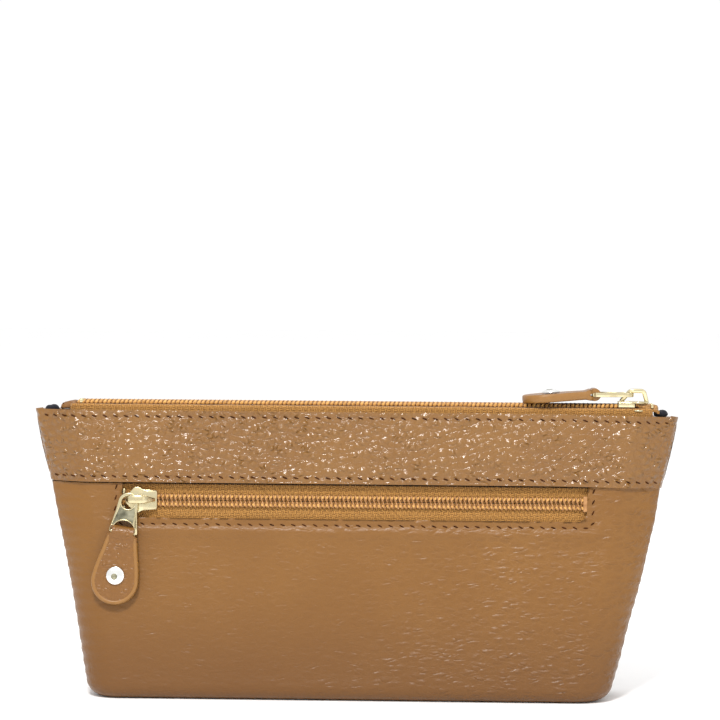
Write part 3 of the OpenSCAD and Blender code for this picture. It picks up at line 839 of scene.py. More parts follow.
def panel(name, side):
    """A body panel with its thickness, rolled edges and grain."""
    heights, grows, window_row = panel_rows()
    grid = skin_grid(heights, grows, side)
    skip = None
    if side < 0:
        left, right = window_columns(grid, window_row)
        skip = np.zeros((grid.shape[0] - 1, grid.shape[1] - 1), bool)
        skip[window_row:, left:right] = True
    lift = softness(grid, side)
    if side < 0:
        near = window_distance(grid)
        calm_window = np.clip((near - 1.6 * MM) / (6 * MM), 0, 1)
        lift = lift * calm_window + stitch_dip(near, grid[..., 0] + grid[..., 2])
        lift += 0.28 * MM * bell(near, 2.4 * MM, 1.4 * MM) * (grid[..., 2] < window_z)
        left_gap = np.abs(np.arange(grid.shape[1]) - (grid.shape[1] - 1) / 2)
        lift[window_row:, left_gap <= (right - left) / 2 + 1] = 0
    grid = grid + outward(grid, side) * lift[..., None]
    if side < 0:
        round_window(grid, window_row, left, right)
    grid = settle_left(grid)
    calm = (grid[..., 2] - seam_z + 2 * MM) / (2 * MM)
    if side < 0:
        calm = np.maximum(calm, 1 - (near - 1 * MM) / (5 * MM))
    obj = grid_object(name, grid, panel_leather, skip=skip, flip=side > 0, calm=calm)
    thicken(obj, leather_t, roll=0.45 * MM)
    run_group(obj, pebbles, {"Cell": panel_cell, "Height": 0.1 * MM, "Warp": 1.3})
    settle(obj)
    return show(obj, "pouch", "body_leather", "front_panel" if side < 0 else "back_panel")


front_panel = panel("panel_front", -1)
back_panel = panel("panel_back", 1)
print("panel faces", len(front_panel.data.polygons), len(back_panel.data.polygons))

# %% [markdown]
# ## The base
# The underside is its own panel, sewn inside the fold of the two skins. It is a flat plate of leather with
# rolled edges, sagging up a little in the middle where the card board holds it.

# %% Base panel and its card


def base_plate():
    """The leather under the pouch, dished a little and closed at its middle."""
    inset = fold_r + 0.4 * MM
    rings = 14
    base, _ = outlines(-inset)
    back = base[-2:0:-1] * np.array([1, -1])
    loop = np.concatenate([base, back])
    grid = []
    for i in range(rings + 1):
        share = 1 - i / rings
        shrink = np.array([1 - (1 - share) * 0.5, max(share, 0.02)])
        z = 0.25 * MM * min(1.0, 2.2 * (1 - share)) + 0.02 * MM
        grid.append(np.column_stack([loop * shrink, np.full(len(loop), z)]))
    grid = settle_left(np.array(grid))
    rows, columns = grid.shape[:2]
    faces = grid_faces(rows, columns, closed=True)
    faces.append(tuple((rows - 1) * columns + j for j in range(columns)))
    obj = mesh_object("base_leather", grid.reshape(-1, 3), faces, panel_leather)
    bpy.context.view_layer.update()
    mesh = bmesh.new()
    mesh.from_mesh(obj.data)
    bmesh.ops.remove_doubles(mesh, verts=mesh.verts, dist=1e-6)
    bmesh.ops.recalc_face_normals(mesh, faces=mesh.faces)
    if sum(f.normal.z * f.calc_area() for f in mesh.faces) > 0:
        bmesh.ops.reverse_faces(mesh, faces=mesh.faces)
    mesh.to_mesh(obj.data)
    mesh.free()
    thicken(obj, leather_t - 0.3 * MM, roll=0.35 * MM)
    settle(obj)
    return show(obj, "pouch", "body_leather", "base_panel")


base_plate()
frame["nodes"]["base_board"].data.materials.clear()
frame["nodes"]["base_board"].data.materials.append(board_card)

# %% [markdown]
# ## The two top bands
# A band is a long strip of the same leather, sewn over the panel's top. It stands proud and its edges are
# turned under, so they roll. When the mouth opens, a band bows outwards in the middle while its ends stay
# joined. Each band is made whole and then parted at the middle into a left and a right half. Each half keeps
# the normals of the whole, and the parting doesn't show.

# %% Splitting at the middle


def part_at_middle(obj, names):
    """Two objects from one, left and right of x = 0, with the whole mesh's smooth normals."""
    mesh = obj.data
    normals = np.zeros(len(mesh.corner_normals) * 3)
    mesh.corner_normals.foreach_get("vector", normals)
    normals = normals.reshape(-1, 3)
    points = np.zeros(len(mesh.vertices) * 3)
    mesh.vertices.foreach_get("co", points)
    points = points.reshape(-1, 3)
    halves = []
    for name, sign in zip(names, (-1, 1)):
        faces, corners, finishes = [], [], []
        for polygon in mesh.polygons:
            if (points[list(polygon.vertices), 0].mean() >= 0) == (sign > 0):
                faces.append(tuple(polygon.vertices))
                corners += list(polygon.loop_indices)
                finishes.append(polygon.material_index)
        used = sorted({v for f in faces for v in f})
        renamed = {v: i for i, v in enumerate(used)}
        half = mesh_object(name, points[used], [[renamed[v] for v in f] for f in faces], *mesh.materials)
        half.data.polygons.foreach_set("material_index", finishes)
        half.data.normals_split_custom_set([tuple(n) for n in normals[corners]])
        halves.append(half)
    bpy.data.objects.remove(obj)
    return halves


def bow_with_mouth(obj, mouth, slot, *nodes):
    """Parts a piece of the mouth at the middle into two halves and hides its CAD nodes; its mouth is not used.
    """
    base_name = obj.name
    obj.name = base_name + "_whole"
    halves = part_at_middle(obj, (base_name + "_left", base_name + "_right"))
    for half, sign in zip(halves, (-1, 1)):
        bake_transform(half)
        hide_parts(*nodes)
    return halves


# %% Bands and their stitches
band_thickness = band_proud + leather_t - 0.2 * MM
stitch_high, stitch_low = top_z - 1.9 * MM, seam_z + 1.8 * MM
band_droop = 0.9 * MM
band_slack = 1.008


def band_surface(z_values, side):
    """The band's outer face at the given heights, drooping a little at its right end."""
    grid = skin_grid(z_values, np.full(len(z_values), band_proud), side)
    x, z = grid[..., 0], grid[..., 2]
    drift = 0.16 * np.sin(x / (17 * MM) + side) * bell(z, (top_z + seam_z) / 2, 8 * MM)
    body = 0.3 * np.sin(np.pi * np.clip((z - seam_z) / (top_z - seam_z), 0, 1)) ** 0.6
    lift = (drift + body) * MM + stitch_dip(z - stitch_high, x) + stitch_dip(z - stitch_low, x)
    grid = grid + outward(grid, side) * lift[..., None]
    grid[..., 0] *= band_slack
    toward_end = np.clip((grid[..., 0] - 0.55 * mouth_half_x) / (0.45 * mouth_half_x), 0, 1)
    grid[..., 2] -= band_droop * toward_end ** 2
    return grid


def band(name, side, mouth, node):
    """One top band with its two rows of stitches, parted at the middle."""
    heights = np.linspace(seam_z + 0.02 * MM, top_z, 37)
    outer = band_surface(heights, side)
    to_edge = np.minimum(heights - seam_z, top_z - heights)[:, None] * np.ones(outer.shape[:2])
    calm = 1 - (to_edge - 1 * MM) / (2.5 * MM)
    obj = grid_object(name, outer, band_leather, flip=side > 0, calm=calm)
    thicken(obj, band_thickness, roll=0.8 * MM, segments=4)
    run_group(obj, pebbles, {"Cell": band_cell, "Height": 0.22 * MM, "Warp": 0.55})
    settle(obj)
    halves = bow_with_mouth(obj, mouth, "body_leather", node)
    surface = band_surface(np.array([stitch_low, stitch_high]), side)
    outs = outward(band_surface(np.array([stitch_low, stitch_low + MM]), side), side)
    ends = slice(side_columns + 2, column_count - side_columns - 2)
    rows = stitch_row(name + "_stitches", [surface[0, ends], surface[1, ends]],
                      [outs[0, ends], outs[0, ends]], slant=-0.38 if side < 0 else 0.38)
    bow_with_mouth(rows, mouth, "body_leather", node)
    return halves


band_front = band("band_front", -1, "mouth_front", "front_yoke")
band_back = band("band_back", 1, "mouth_back", "back_yoke")
print("band half faces", [len(h.data.polygons) for h in band_front + band_back])

# %% [markdown]
# ## Stitches round the pocket's window
# One row runs down the left of the window, along its foot and up the right. The thread sinks into the dip
# that the panel already has.

# %% Pocket stitches


def pocket_stitches():
    """The thread down the left of the window, along its foot and up the right."""
    x = window_half + window_stitch
    low = window_z - window_stitch
    high = panel_head_z - 1.2 * MM
    out = Vector((0, -math.cos(lean), math.sin(lean)))

    def spot(px, pz):
        """A place on the front, shifted sideways as the soft body leans."""
        leaned = px - lean_left * (1 - pz / seam_z)
        return Vector((leaned, front_y(pz), pz)) + out * (-0.16 * MM)

    path = [spot(-x, z) for z in np.linspace(high, low, 14)]
    path += [spot(px, low) for px in np.linspace(-x, x, 120)[1:]]
    path += [spot(x, z) for z in np.linspace(low, high, 14)[1:]]
    row = stitch_row("pocket_stitches", [path], [[out] * len(path)])
    return show(row, "pouch", "body_leather")


pocket_stitches()

# %% [markdown]
# ## Places of the zips
# Everything on a zip is laid out in the zip's own frame: x runs from the slider's nose to its tail, y across
# the chain and z out of it. A frame is an origin and two directions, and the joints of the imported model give
# those.

# %% Local frames


class Place:
    """A local frame. at() turns local metres into the pouch's frame, and measure() gives a node's local
    box."""

    def __init__(self, origin, x, z):
        self.x, self.z = Vector(x).normalized(), Vector(z).normalized()
        self.y = self.z.cross(self.x)
        turn = Matrix((self.x, self.y, self.z)).transposed()
        self.matrix = Matrix.Translation(Vector(origin)) @ turn.to_4x4()

    def at(self, x, y, z):
        """A point of the model, from a place in this frame in metres."""
        return self.matrix @ Vector((x, y, z))

    def measure(self, *nodes):
        """The lowest and highest corners of the named nodes, read in this frame."""
        inverse = np.array(self.matrix.inverted())
        points = np.concatenate([points_of(n) for n in nodes])
        local = points @ inverse[:3, :3].T + inverse[:3, 3]
        return Vector(local.min(0)), Vector(local.max(0))


def zip_place(kind, x, z):
    """The frame of a zip: the middle of its chain across, and the middle of its slider in height."""
    loose = Place((0, 0, 0), x, z)
    words = ("upper", "lower") if kind == "pocket" else ("front", "back")
    coils = [f"{kind}_coil_{word}" for word in words]
    chain_low, chain_high = loose.measure(*coils)
    slider_low, slider_high = loose.measure(kind + "_slider_body")
    return Place(loose.at(0, (chain_low.y + chain_high.y) / 2, (slider_low.z + slider_high.z) / 2), x, z)


out_of_front = Vector(joints["pocket_pull_swing"]["axis"])
pocket_zip = zip_place("pocket", (1, 0, 0), out_of_front)
top_zip = zip_place("top", (-1, 0, 0), (0, 0, 1))
print("pocket zip", [round(v, 4) for v in pocket_zip.at(0, 0, 0)], "top zip",
      [round(v, 4) for v in top_zip.at(0, 0, 0)])

# %% [markdown]
# ## Geometry Nodes: wound coils
# The teeth of a nylon zip are one stiff thread wound into a flat coil and sewn to the tape. A helix made by
# rule suits that: the tree walks a line in small steps and swings each point round it, wide across the tape
# and low above it, and then gives the path a round section. The two coils are wound half a turn apart, so
# they mesh.

# %% The coil tree


def coil_group():
    """Walks a line in small steps, swings each point round it and gives the path a round section."""
    tree, start, end = node_group("wound_coil", [
        ("Geometry", "Geometry"), ("Pitch", "Float"), ("Reach", "Float"), ("Rise", "Float"),
        ("Wire", "Float"),
        ("Phase", "Float"), ("Material", "Material"),
    ])
    steps_per_turn = 10
    curve = add(tree, "GeometryNodeMeshToCurve", {0: start.outputs["Geometry"]})
    step = math_node(tree, "DIVIDE", start.outputs["Pitch"], float(steps_per_turn))
    steps = add(tree, "GeometryNodeResampleCurve", {"Curve": curve.outputs[0], "Length": step},
                mode="LENGTH")
    out = add(tree, "GeometryNodeInputNamedAttribute", {"Name": "way_out"},
              data_type="FLOAT_VECTOR").outputs[0]
    tangent = add(tree, "GeometryNodeInputTangent").outputs[0]
    across = vector_math(tree, "CROSS_PRODUCT", out, tangent)
    index = add(tree, "GeometryNodeInputIndex").outputs[0]
    turn = math_node(tree, "MULTIPLY", index, 2 * math.pi / steps_per_turn)
    turn = math_node(tree, "ADD", turn, start.outputs["Phase"])
    sideways = math_node(tree, "MULTIPLY", math_node(tree, "COSINE", turn), start.outputs["Reach"])
    upwards = math_node(tree, "MULTIPLY", math_node(tree, "SINE", turn), start.outputs["Rise"])
    offset = vector_math(tree, "ADD", vector_math(tree, "SCALE", across, sideways),
                         vector_math(tree, "SCALE", out, upwards))
    wound = add(tree, "GeometryNodeSetPosition", {"Geometry": steps.outputs[0], "Offset": offset})
    ring = add(tree, "GeometryNodeCurvePrimitiveCircle", {"Resolution": 6, "Radius": start.outputs["Wire"]})
    wire = add(tree, "GeometryNodeCurveToMesh",
               {"Curve": wound.outputs[0], "Profile Curve": ring.outputs[0]})
    end_group(tree, wire.outputs[0], start.outputs["Material"], end)
    return tree


coils = coil_group()
coil_pitch = 1.355 * MM


def wound_coil(name, place, node, side, phase, tilt=0.0, left_early=0.0):
    """One coil of a chain over its CAD node, with the thread that sews it down: an inner row always, and an
    outer row when tilt is set. tilt lifts its inner edge, as on a zip whose tapes stand up like a roof."""
    low, high = place.measure(node)
    reach = (high.y - low.y) / 2
    rise = (high.z - low.z) / 2
    wire = 0.3 * MM
    middle_y, middle_z = (low.y + high.y) / 2, (low.z + high.z) / 2
    across = math.cos(tilt), -side * math.sin(tilt)
    out = side * math.sin(tilt), math.cos(tilt)

    def on_coil(x, u, v):
        """A point of the coil's own section: u out from the chain's middle line, v above the tape."""
        y = middle_y + side * u * across[0] + out[0] * v
        return place.at(x, y, middle_z + side * u * across[1] + out[1] * v)

    stretch = np.linspace(low.x, high.x + left_early, 60)
    way_out = (place.y * out[0] + place.z * out[1]).normalized()
    path = [on_coil(x, -0.1 * MM, 0) for x in stretch]
    coil = run_group(line_object(name, [path], [[way_out] * 60]), coils, {
        "Pitch": coil_pitch, "Reach": reach - wire + 0.12 * MM, "Rise": rise - wire - 0.06 * MM,
        "Wire": wire, "Phase": phase,
        "Material": coil_nylon,
    })
    settle(coil).data.shade_smooth()
    inner = [on_coil(x, 0.12 * MM, rise - 0.42 * MM) for x in stretch]
    outer = [on_coil(x + 0.25 * MM, reach - 0.3 * MM, 0.1 * MM) for x in stretch]
    outer_out = (way_out + (place.y * across[0] + place.z * across[1]) * side * 1.2).normalized()
    turned_by = math.pi / 2 - side * 0.42
    threads = [
        stitch_row(f"{name}_thread_{word}", [row], [[direction] * 60],
                   slant=turned_by if word == "inner" else 1.2 * side,
                   material=coil_thread, pitch=coil_pitch, length=size[0] * MM, width=size[1] * MM, sink=0.0,
                   seed=5)
        for word, row, direction, size in (("inner", inner, way_out, (1.2, 0.82)),
                                           ("outer", outer, outer_out, (1.45, 1.15)))
        if word == "inner" or tilt
    ]
    return coil, threads


# %% [markdown]
# ## The top zip's tapes and coils
# Each tape lies flat under its coil and then turns down over the leather's edge, inside the band. Both bow
# with their band when the mouth opens, and they are parted at the middle as the band is.

# %% Top tapes and coils


def woven_ripple(x, amount):
    """Small unevenness along a tape."""
    return amount * (np.sin(x / (2.3 * MM)) + 0.6 * np.sin(x / (5.1 * MM) + 1.0))


def top_tape(name, side, node):
    """The woven tape of one top coil: flat under it, then down over the leather's edge."""
    low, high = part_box(node)
    half = high.x
    inner, outer = min(abs(low.y), abs(high.y)), max(abs(low.y), abs(high.y))
    shelf = max(0.66 * outer, 4.2 * MM)
    turn = min(0.13 * outer, 0.93 * outer - shelf - 0.2 * MM)
    bend = [(shelf + turn * math.sin(a), high.z - 1.0 * MM * (1 - math.cos(a)))
            for a in np.linspace(0.25, math.pi / 2, 6)]
    profile = [(y, high.z) for y in np.linspace(inner, shelf, 8)] + bend
    profile += [(0.93 * outer - 0.1 * MM, top_z - 0.2 * MM), (0.93 * outer, (top_z + low.z) / 2),
                (outer - 0.3 * MM, low.z)]
    patch_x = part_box("top_end_tab")[1].x
    xs = np.linspace(patch_x - 2.5 * MM, half + 7.5 * MM, 241)
    grid = []
    for k, (y, z) in enumerate(profile):
        row = []
        for x in xs:
            narrow = 1 - 0.42 * min(max((abs(x) - 0.84 * half) / (0.28 * half), 0), 1)
            wander = woven_ripple(x + k * MM, 0.035 * MM)
            reach = inner + (y - inner + wander) * narrow if k else 0.05 * MM
            row.append((x, side * reach, z + woven_ripple(x, 0.04 * MM)))
        grid.append(row)
    grid = np.array(grid)
    obj = grid_object(name, grid, tape_cloth, flip=side < 0)
    thicken(obj, 0.35 * MM)
    return settle(obj)


for side, mouth, word in ((-1, "mouth_front", "front"), (1, "mouth_back", "back")):
    bow_with_mouth(top_tape("top_tape_" + word + "_cloth", side, "top_tape_" + word), mouth, "zip_tape",
                   "top_tape_" + word)
    coil, threads = wound_coil("top_coil_" + word + "_wire", top_zip, "top_coil_" + word, -side,
                               0.0 if side < 0 else math.pi, tilt=0.34, left_early=1.5 * MM)
    bow_with_mouth(coil, mouth, "zip_coil", "top_coil_" + word)
    for thread in threads:
        bow_with_mouth(thread, mouth, "zip_tape", "top_coil_" + word)

# %% [markdown]
# ## The pocket's tapes and coils
# These lie flat behind the window. Each lip is sewn all round, so only its middle gives when the slider has
# passed.

# %% Pocket tapes and coils


def give_with_lip(obj, node):
    """Parts a piece of a pocket lip at the middle into two halves and hides its CAD node."""
    base_name = obj.name
    obj.name = base_name + "_whole"
    for half, sign in zip(part_at_middle(obj, (base_name + "_left", base_name + "_right")), (-1, 1)):
        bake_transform(half)
        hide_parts(node)


def pocket_tape(name, node, side):
    """The woven tape of one pocket coil, flat behind the window."""
    low, high = pocket_zip.measure(node)
    xs = np.linspace(low.x, high.x, 231)
    ys = np.linspace(0.04 * MM, high.y, 9) if side > 0 else np.linspace(low.y, -0.04 * MM, 9)
    grid = np.array([
        [pocket_zip.at(x, y,
                       high.z + woven_ripple(x + 3 * y, 0.02 * MM) - 0.02 * MM) for x in xs] for y in ys
    ])
    obj = grid_object(name, grid, tape_cloth)
    thicken(obj, high.z - low.z - 0.05 * MM)
    return settle(obj)


for side, word in ((1, "upper"), (-1, "lower")):
    give_with_lip(pocket_tape("pocket_tape_" + word + "_cloth", "pocket_tape_" + word, side),
                  "pocket_tape_" + word)
    coil, threads = wound_coil("pocket_coil_" + word + "_wire", pocket_zip, "pocket_coil_" + word, side,
                               0.0 if side < 0 else math.pi)
    give_with_lip(coil, "pocket_coil_" + word)
    for thread in threads:
        give_with_lip(thread, "pocket_coil_" + word)

# %% [markdown]
# ## Metal plates with rolled edges
# Most of the metal is flat castings with holes. A filled 2D curve makes such a plate in one step: each
# spline is an outline or a hole, the extrusion is its thickness, and the curve's own bevel rolls every edge.
# The curves are drawn in millimetres and placed by the local frame.

# %% Plates


def placed_mesh(name, mesh, place, shift, material):
    """A mesh drawn in millimetres, moved into a local frame."""
    mesh.transform(place.matrix @ Matrix.Scale(MM, 4) @ Matrix.Translation(shift))
    mesh.materials.clear()
    mesh.materials.append(material)
    obj = bpy.data.objects.new(name, mesh)
    bpy.context.scene.collection.objects.link(obj)
    return obj


def plate(name, place, outline, low, high, material, holes=(), roll=0.15):
    """A plate from an outline and holes in local millimetres, between two heights."""
    curve = bpy.data.curves.new(name, "CURVE")
    curve.dimensions, curve.fill_mode = "2D", "BOTH"
    for ring in (outline, *holes):
        spline = curve.splines.new("POLY")
        spline.points.add(len(ring) - 1)
        for point, (x, y) in zip(spline.points, ring):
            point.co = (x, y, 0, 1)
        spline.use_cyclic_u = True
    curve.extrude = (high - low) / 2 - roll
    curve.bevel_depth, curve.bevel_resolution, curve.offset = roll, 2, -roll
    drawn = bpy.data.objects.new(name + "_curve", curve)
    bpy.context.scene.collection.objects.link(drawn)
    mesh = bpy.data.meshes.new_from_object(drawn.evaluated_get(bpy.context.evaluated_depsgraph_get()))
    bpy.data.objects.remove(drawn)
    welded = bmesh.new()
    welded.from_mesh(mesh)
    bmesh.ops.remove_doubles(welded, verts=welded.verts, dist=0.001)
    bmesh.ops.recalc_face_normals(welded, faces=welded.faces)
    welded.to_mesh(mesh)
    welded.free()
    mesh.shade_smooth()
    mesh.set_sharp_from_angle(angle=math.radians(35))
    return placed_mesh(name, mesh, place, (0, 0, (low + high) / 2), material)


def round_arc(cx, cy, rx, ry, start, stop, count):
    """Points on an ellipse's arc, with angles in degrees."""
    return [(cx + rx * math.cos(math.radians(a)), cy + ry * math.sin(math.radians(a)))
            for a in np.linspace(start, stop, count)]


def swept_strap(name, place, path, widths, thickness, material, round_by=0.25):
    """A flat strap along points in the local xz plane, in millimetres, with rounded edges and closed
    ends."""
    path, count = np.array(path, float), len(path)
    tangent = np.gradient(path, axis=0)
    tangent /= np.linalg.norm(tangent, axis=1, keepdims=True)
    normal = np.column_stack([-tangent[:, 1], tangent[:, 0]])
    r, section = round_by, []
    for sy, sz, start in ((1, 1, 0), (-1, 1, 90), (-1, -1, 180), (1, -1, 270)):
        for a in np.radians([start, start + 45, start + 90]):
            section.append((sy, r * math.cos(a), sz, r * math.sin(a)))
    rings = []
    for p, n, w in zip(path, normal, widths):
        ring = []
        for sy, ry, sz, rz in section:
            y = sy * (w / 2 - r) + ry
            out = sz * (thickness / 2 - r) + rz
            ring.append((p[0] + n[0] * out, y, p[1] + n[1] * out))
        rings.append(ring)
    grid = np.array(rings)
    columns = grid.shape[1]
    faces = grid_faces(count, columns, closed=True)
    faces += [tuple(range(columns)), tuple((count - 1) * columns + j for j in range(columns))]
    mesh = bpy.data.meshes.new(name)
    mesh.from_pydata([tuple(p) for p in grid.reshape(-1, 3)], [], faces)
    face_outwards(mesh)
    mesh.shade_smooth()
    mesh.set_sharp_from_angle(angle=math.radians(50))
    return placed_mesh(name, mesh, place, (0, 0, 0), material)


def turned(name, place, profile, material, segments=40, shift=(0, 0, 0), skew=(0.0, 0.0)):
    """A turned piece from (radius, height) points in millimetres, closed on its axis. skew slides the inner
    rings."""
    outer = max(r for r, _ in profile)
    points = []
    for r, z in profile:
        slide = 1 - r / outer
        points += [(r * math.cos(a) + skew[0] * slide, r * math.sin(a) + skew[1] * slide, z)
                   for a in np.linspace(0, 2 * math.pi, segments, endpoint=False)]
    faces = grid_faces(len(profile), segments, closed=True)
    faces.append(tuple(range(segments)))
    faces.append(tuple((len(profile) - 1) * segments + j for j in range(segments)))
    mesh = bpy.data.meshes.new(name)
    mesh.from_pydata(points, [], faces)
    face_outwards(mesh)
    mesh.shade_smooth()
    mesh.set_sharp_from_angle(angle=math.radians(50))
    return placed_mesh(name, mesh, place, shift, material)


# %% [markdown]
# ## Sliders
# A slider is two plates joined by a wedge at the nose, with skirts that squeeze the chain together at the
# tail. A strap arches over it, the bail, and the pull's ring runs on that. Its plates are widest near the
# middle.

# %% Slider bodies and bails


def slider_frame(kind, zip_frame):
    """The slider's place on its zip, and its length, width and height in millimetres."""
    low, high = zip_frame.measure(kind + "_slider_body")
    return Place(zip_frame.at((low.x + high.x) / 2, 0, 0), zip_frame.x, zip_frame.z), (high - low) / MM


def slider(kind, place, size):
    """A slider's two plates, the wedge between them and the skirts at its tail."""
    half, wing, top = size.x / 2, size.y / 2, size.z / 2
    plate_t = 0.62
    wing_x = -0.12 * size.x
    outline = round_arc(-half + 1.3, 0, 1.3, 1.9, 110, 250, 7)
    outline += [(wing_x - 1.1, -wing + 0.15), (wing_x - 0.5, -wing), (wing_x + 0.3, -wing),
                (wing_x + 1.2, -wing + 0.5)]
    outline += [(wing_x + 2.9, -0.73 * wing), (half - 0.3, -0.7 * wing), (half, -0.62 * wing)]
    outline += [(x, -y) for x, y in outline[:6:-1]]
    body = kind + "_slider"
    parts = [
        plate(body + "_top", place, outline, top - plate_t, top, pale_gold, roll=0.2),
        plate(body + "_underside", place, outline, -top, -top + plate_t, pale_gold, roll=0.2),
        plate(body + "_wedge", place, round_arc(-half + 1.6, 0, 1.3, 0.5, 0, 345, 16), -top + 0.3, top - 0.3,
              pale_gold, roll=0.1),
    ]
    for side, word in ((-1, "left"), (1, "right")):
        skirt = [(wing_x + 1.0, side * 0.84 * wing), (wing_x + 1.0, side * 0.66 * wing),
                 (half - 0.1, side * 0.6 * wing), (half - 0.1, side * 0.72 * wing)]
        parts.append(plate(f"{body}_skirt_{word}", place, skirt, -0.25, top - 0.25, pale_gold, roll=0.12))
    for part in parts:
        show(part, body, "zip_metal", body + "_body")
    return parts


def bail(kind, place):
    """The strap that arches over the slider and holds the pull's ring."""
    low, high = (v / MM for v in place.measure(kind + "_slider_bail"))
    strap_t, strap_w = 1.3, high.y - low.y
    top = high.z - strap_t / 2 + 0.45
    nose, tail = low.x + 0.5, high.x - 0.5
    nose_top, tail_top = nose + 1.0, tail - 0.95 * (top - low.z)
    corner = 1.15
    path = [(nose, low.z - 0.1), (nose + 0.25, low.z + 0.9)]
    path += [(nose_top + corner * (1 - math.sin(a)) - 0.35, top - corner * (1 - math.cos(a)))
             for a in np.radians([80, 60, 40, 20, 0])]
    path += [(x, top) for x in np.linspace(nose_top + corner, tail_top - 0.5, 4)[1:]]
    path += [(tail_top + 0.15, top - 0.12), (tail_top + 0.6, top - 0.45), (tail - 0.5, low.z + 0.55),
             (tail, low.z - 0.1)]
    spread = np.clip((np.array([p[1] for p in path]) - low.z) / (top - low.z), 0, 1)
    widths = 1.25 + (strap_w - 1.25 + 0.2) * spread ** 1.6
    strap = swept_strap(kind + "_bail_strap", place, path, widths, strap_t, pale_gold, round_by=0.3)
    return show(strap, kind + "_slider", "zip_metal", kind + "_slider_bail")


slider_places = {}
for kind, zip_frame in (("pocket", pocket_zip), ("top", top_zip)):
    slider_places[kind], slider_size = slider_frame(kind, zip_frame)
    slider(kind, slider_places[kind], slider_size)
    bail(kind, slider_places[kind])
print("slider", [round(v, 2) for v in slider_size])

# %% [markdown]
# ## Metal pulls
# A pull is a ring, a plate that widens, and a foot with an arched opening and a bar. Its face is sunk
# between raised bright rims, and the sunk part has gone grey. The rim and the sunk panel are two plates with
# one outline.

# %% Pulls


def pull_frame(kind, normal):
    """The pull's place, from its pivot toward the tab's pivot, and the millimetres between the two."""
    pivot = Vector(joints["top_pull_flip" if kind == "top" else "pocket_pull_swing"]["pos_m"])
    bar = Vector(joints[kind + "_tab_lift"]["pos_m"])
    return Place(pivot, bar - pivot, normal), (bar - pivot).length / MM


def pull(kind, place, length):
    """The metal pull: raised rims, a sunk panel, a hole for the bail and a bar for the tab."""
    low, high = (v / MM for v in place.measure(kind + "_pull"))
    half_w, half_t, foot = high.y, high.z, length + 0.15
    wall, hole_r = 0.95, 2.1
    ring_x = low.x + wall + hole_r
    ring_r = hole_r + wall
    post, arch = 1.15, length - 3.7
    arch_w = half_w - post

    def arched(grow):
        """The opening at the foot, as an outline from its left post to its right one."""
        top = round_arc(length - 0.9, 0, length - 0.9 - arch + grow, arch_w + grow, -90, -270, 19)
        return [(foot - 0.01, -arch_w - grow)] + top + [(foot - 0.01, arch_w + grow)]

    outline = round_arc(ring_x, 0, ring_r, ring_r, 98, 262, 25)
    outline += [(ring_x + ring_r, -ring_r - 0.3), (foot - 0.3, -half_w), (foot, -half_w + 0.3)]
    outline += arched(0)
    outline += [(foot, half_w - 0.3), (foot - 0.3, half_w), (ring_x + ring_r, ring_r + 0.3)]
    ring_hole = round_arc(ring_x, 0, hole_r, hole_r, 0, 345, 24)
    rim = 0.55
    side_at = [(ring_x + 1.2, ring_r - 0.4), (foot - 1.1, half_w - rim - 0.1)]
    sunk = round_arc(ring_x, 0, hole_r + 0.42, hole_r + 0.42, 62, -62, 12)
    sunk += [(side_at[0][0] + 1.6, -side_at[0][1] + 0.1), (side_at[1][0] - 1.0, -side_at[1][1])]
    sunk += round_arc(length - 0.9, 0, length - 0.9 - arch + 0.45, arch_w + 0.3, -112, -248, 15)
    sunk += [(side_at[1][0] - 1.0, side_at[1][1]), (side_at[0][0] + 1.6, side_at[0][1] - 0.1)]
    body = kind + "_pull"
    faces = [
        plate(body + "_rims", place, outline, -half_t, half_t, pale_gold, holes=(ring_hole, sunk),
              roll=0.16),
        plate(body + "_sunk_panel", place, sunk, -half_t + 0.25, half_t - 0.28, dark_olive_metal, roll=0.02),
        turned(body + "_bar", Place(place.at(length * MM, 0, 0), place.z, place.y),
               [(0.68, -half_w + 0.6), (0.7, -half_w + 0.7), (0.7, half_w - 0.7), (0.68, half_w - 0.6)],
               pale_gold, segments=24),
    ]
    for piece in faces:
        show(piece, body, "zip_metal", body)
    return faces


pull_places = {}
for kind, normal in (("pocket", out_of_front), ("top", Vector((0, 0, 1)))):
    pull_places[kind], pull_length = pull_frame(kind, normal)
    pull(kind, pull_places[kind], pull_length)
print("pull length", round(pull_length, 2))

# %% [markdown]
# ## Leather pull tabs
# A tab is one strip of leather, folded round the pull's bar, glued back to back, cut round at its end,
# painted along its cut edge and held by a rivet. So it is built as a strip: a path goes down the top layer,
# round the bar and back along the lower layer, and a half width for every point of the path gives the
# outline.

# %% Tabs


def tab_frame(kind, pull_place):
    """The tab hangs from the bar, and its rivet shows which way it faces."""
    bar = Vector(joints[kind + "_tab_lift"]["pos_m"])
    centres = []
    for node in (kind + "_rivet_cap", kind + "_rivet_stud"):
        low, high = pull_place.measure(node)
        centres.append(pull_place.at(*((low + high) / 2)))
    outward_z = (centres[0] - centres[1]).normalized()
    return Place(bar, pull_place.y.cross(outward_z), outward_z)


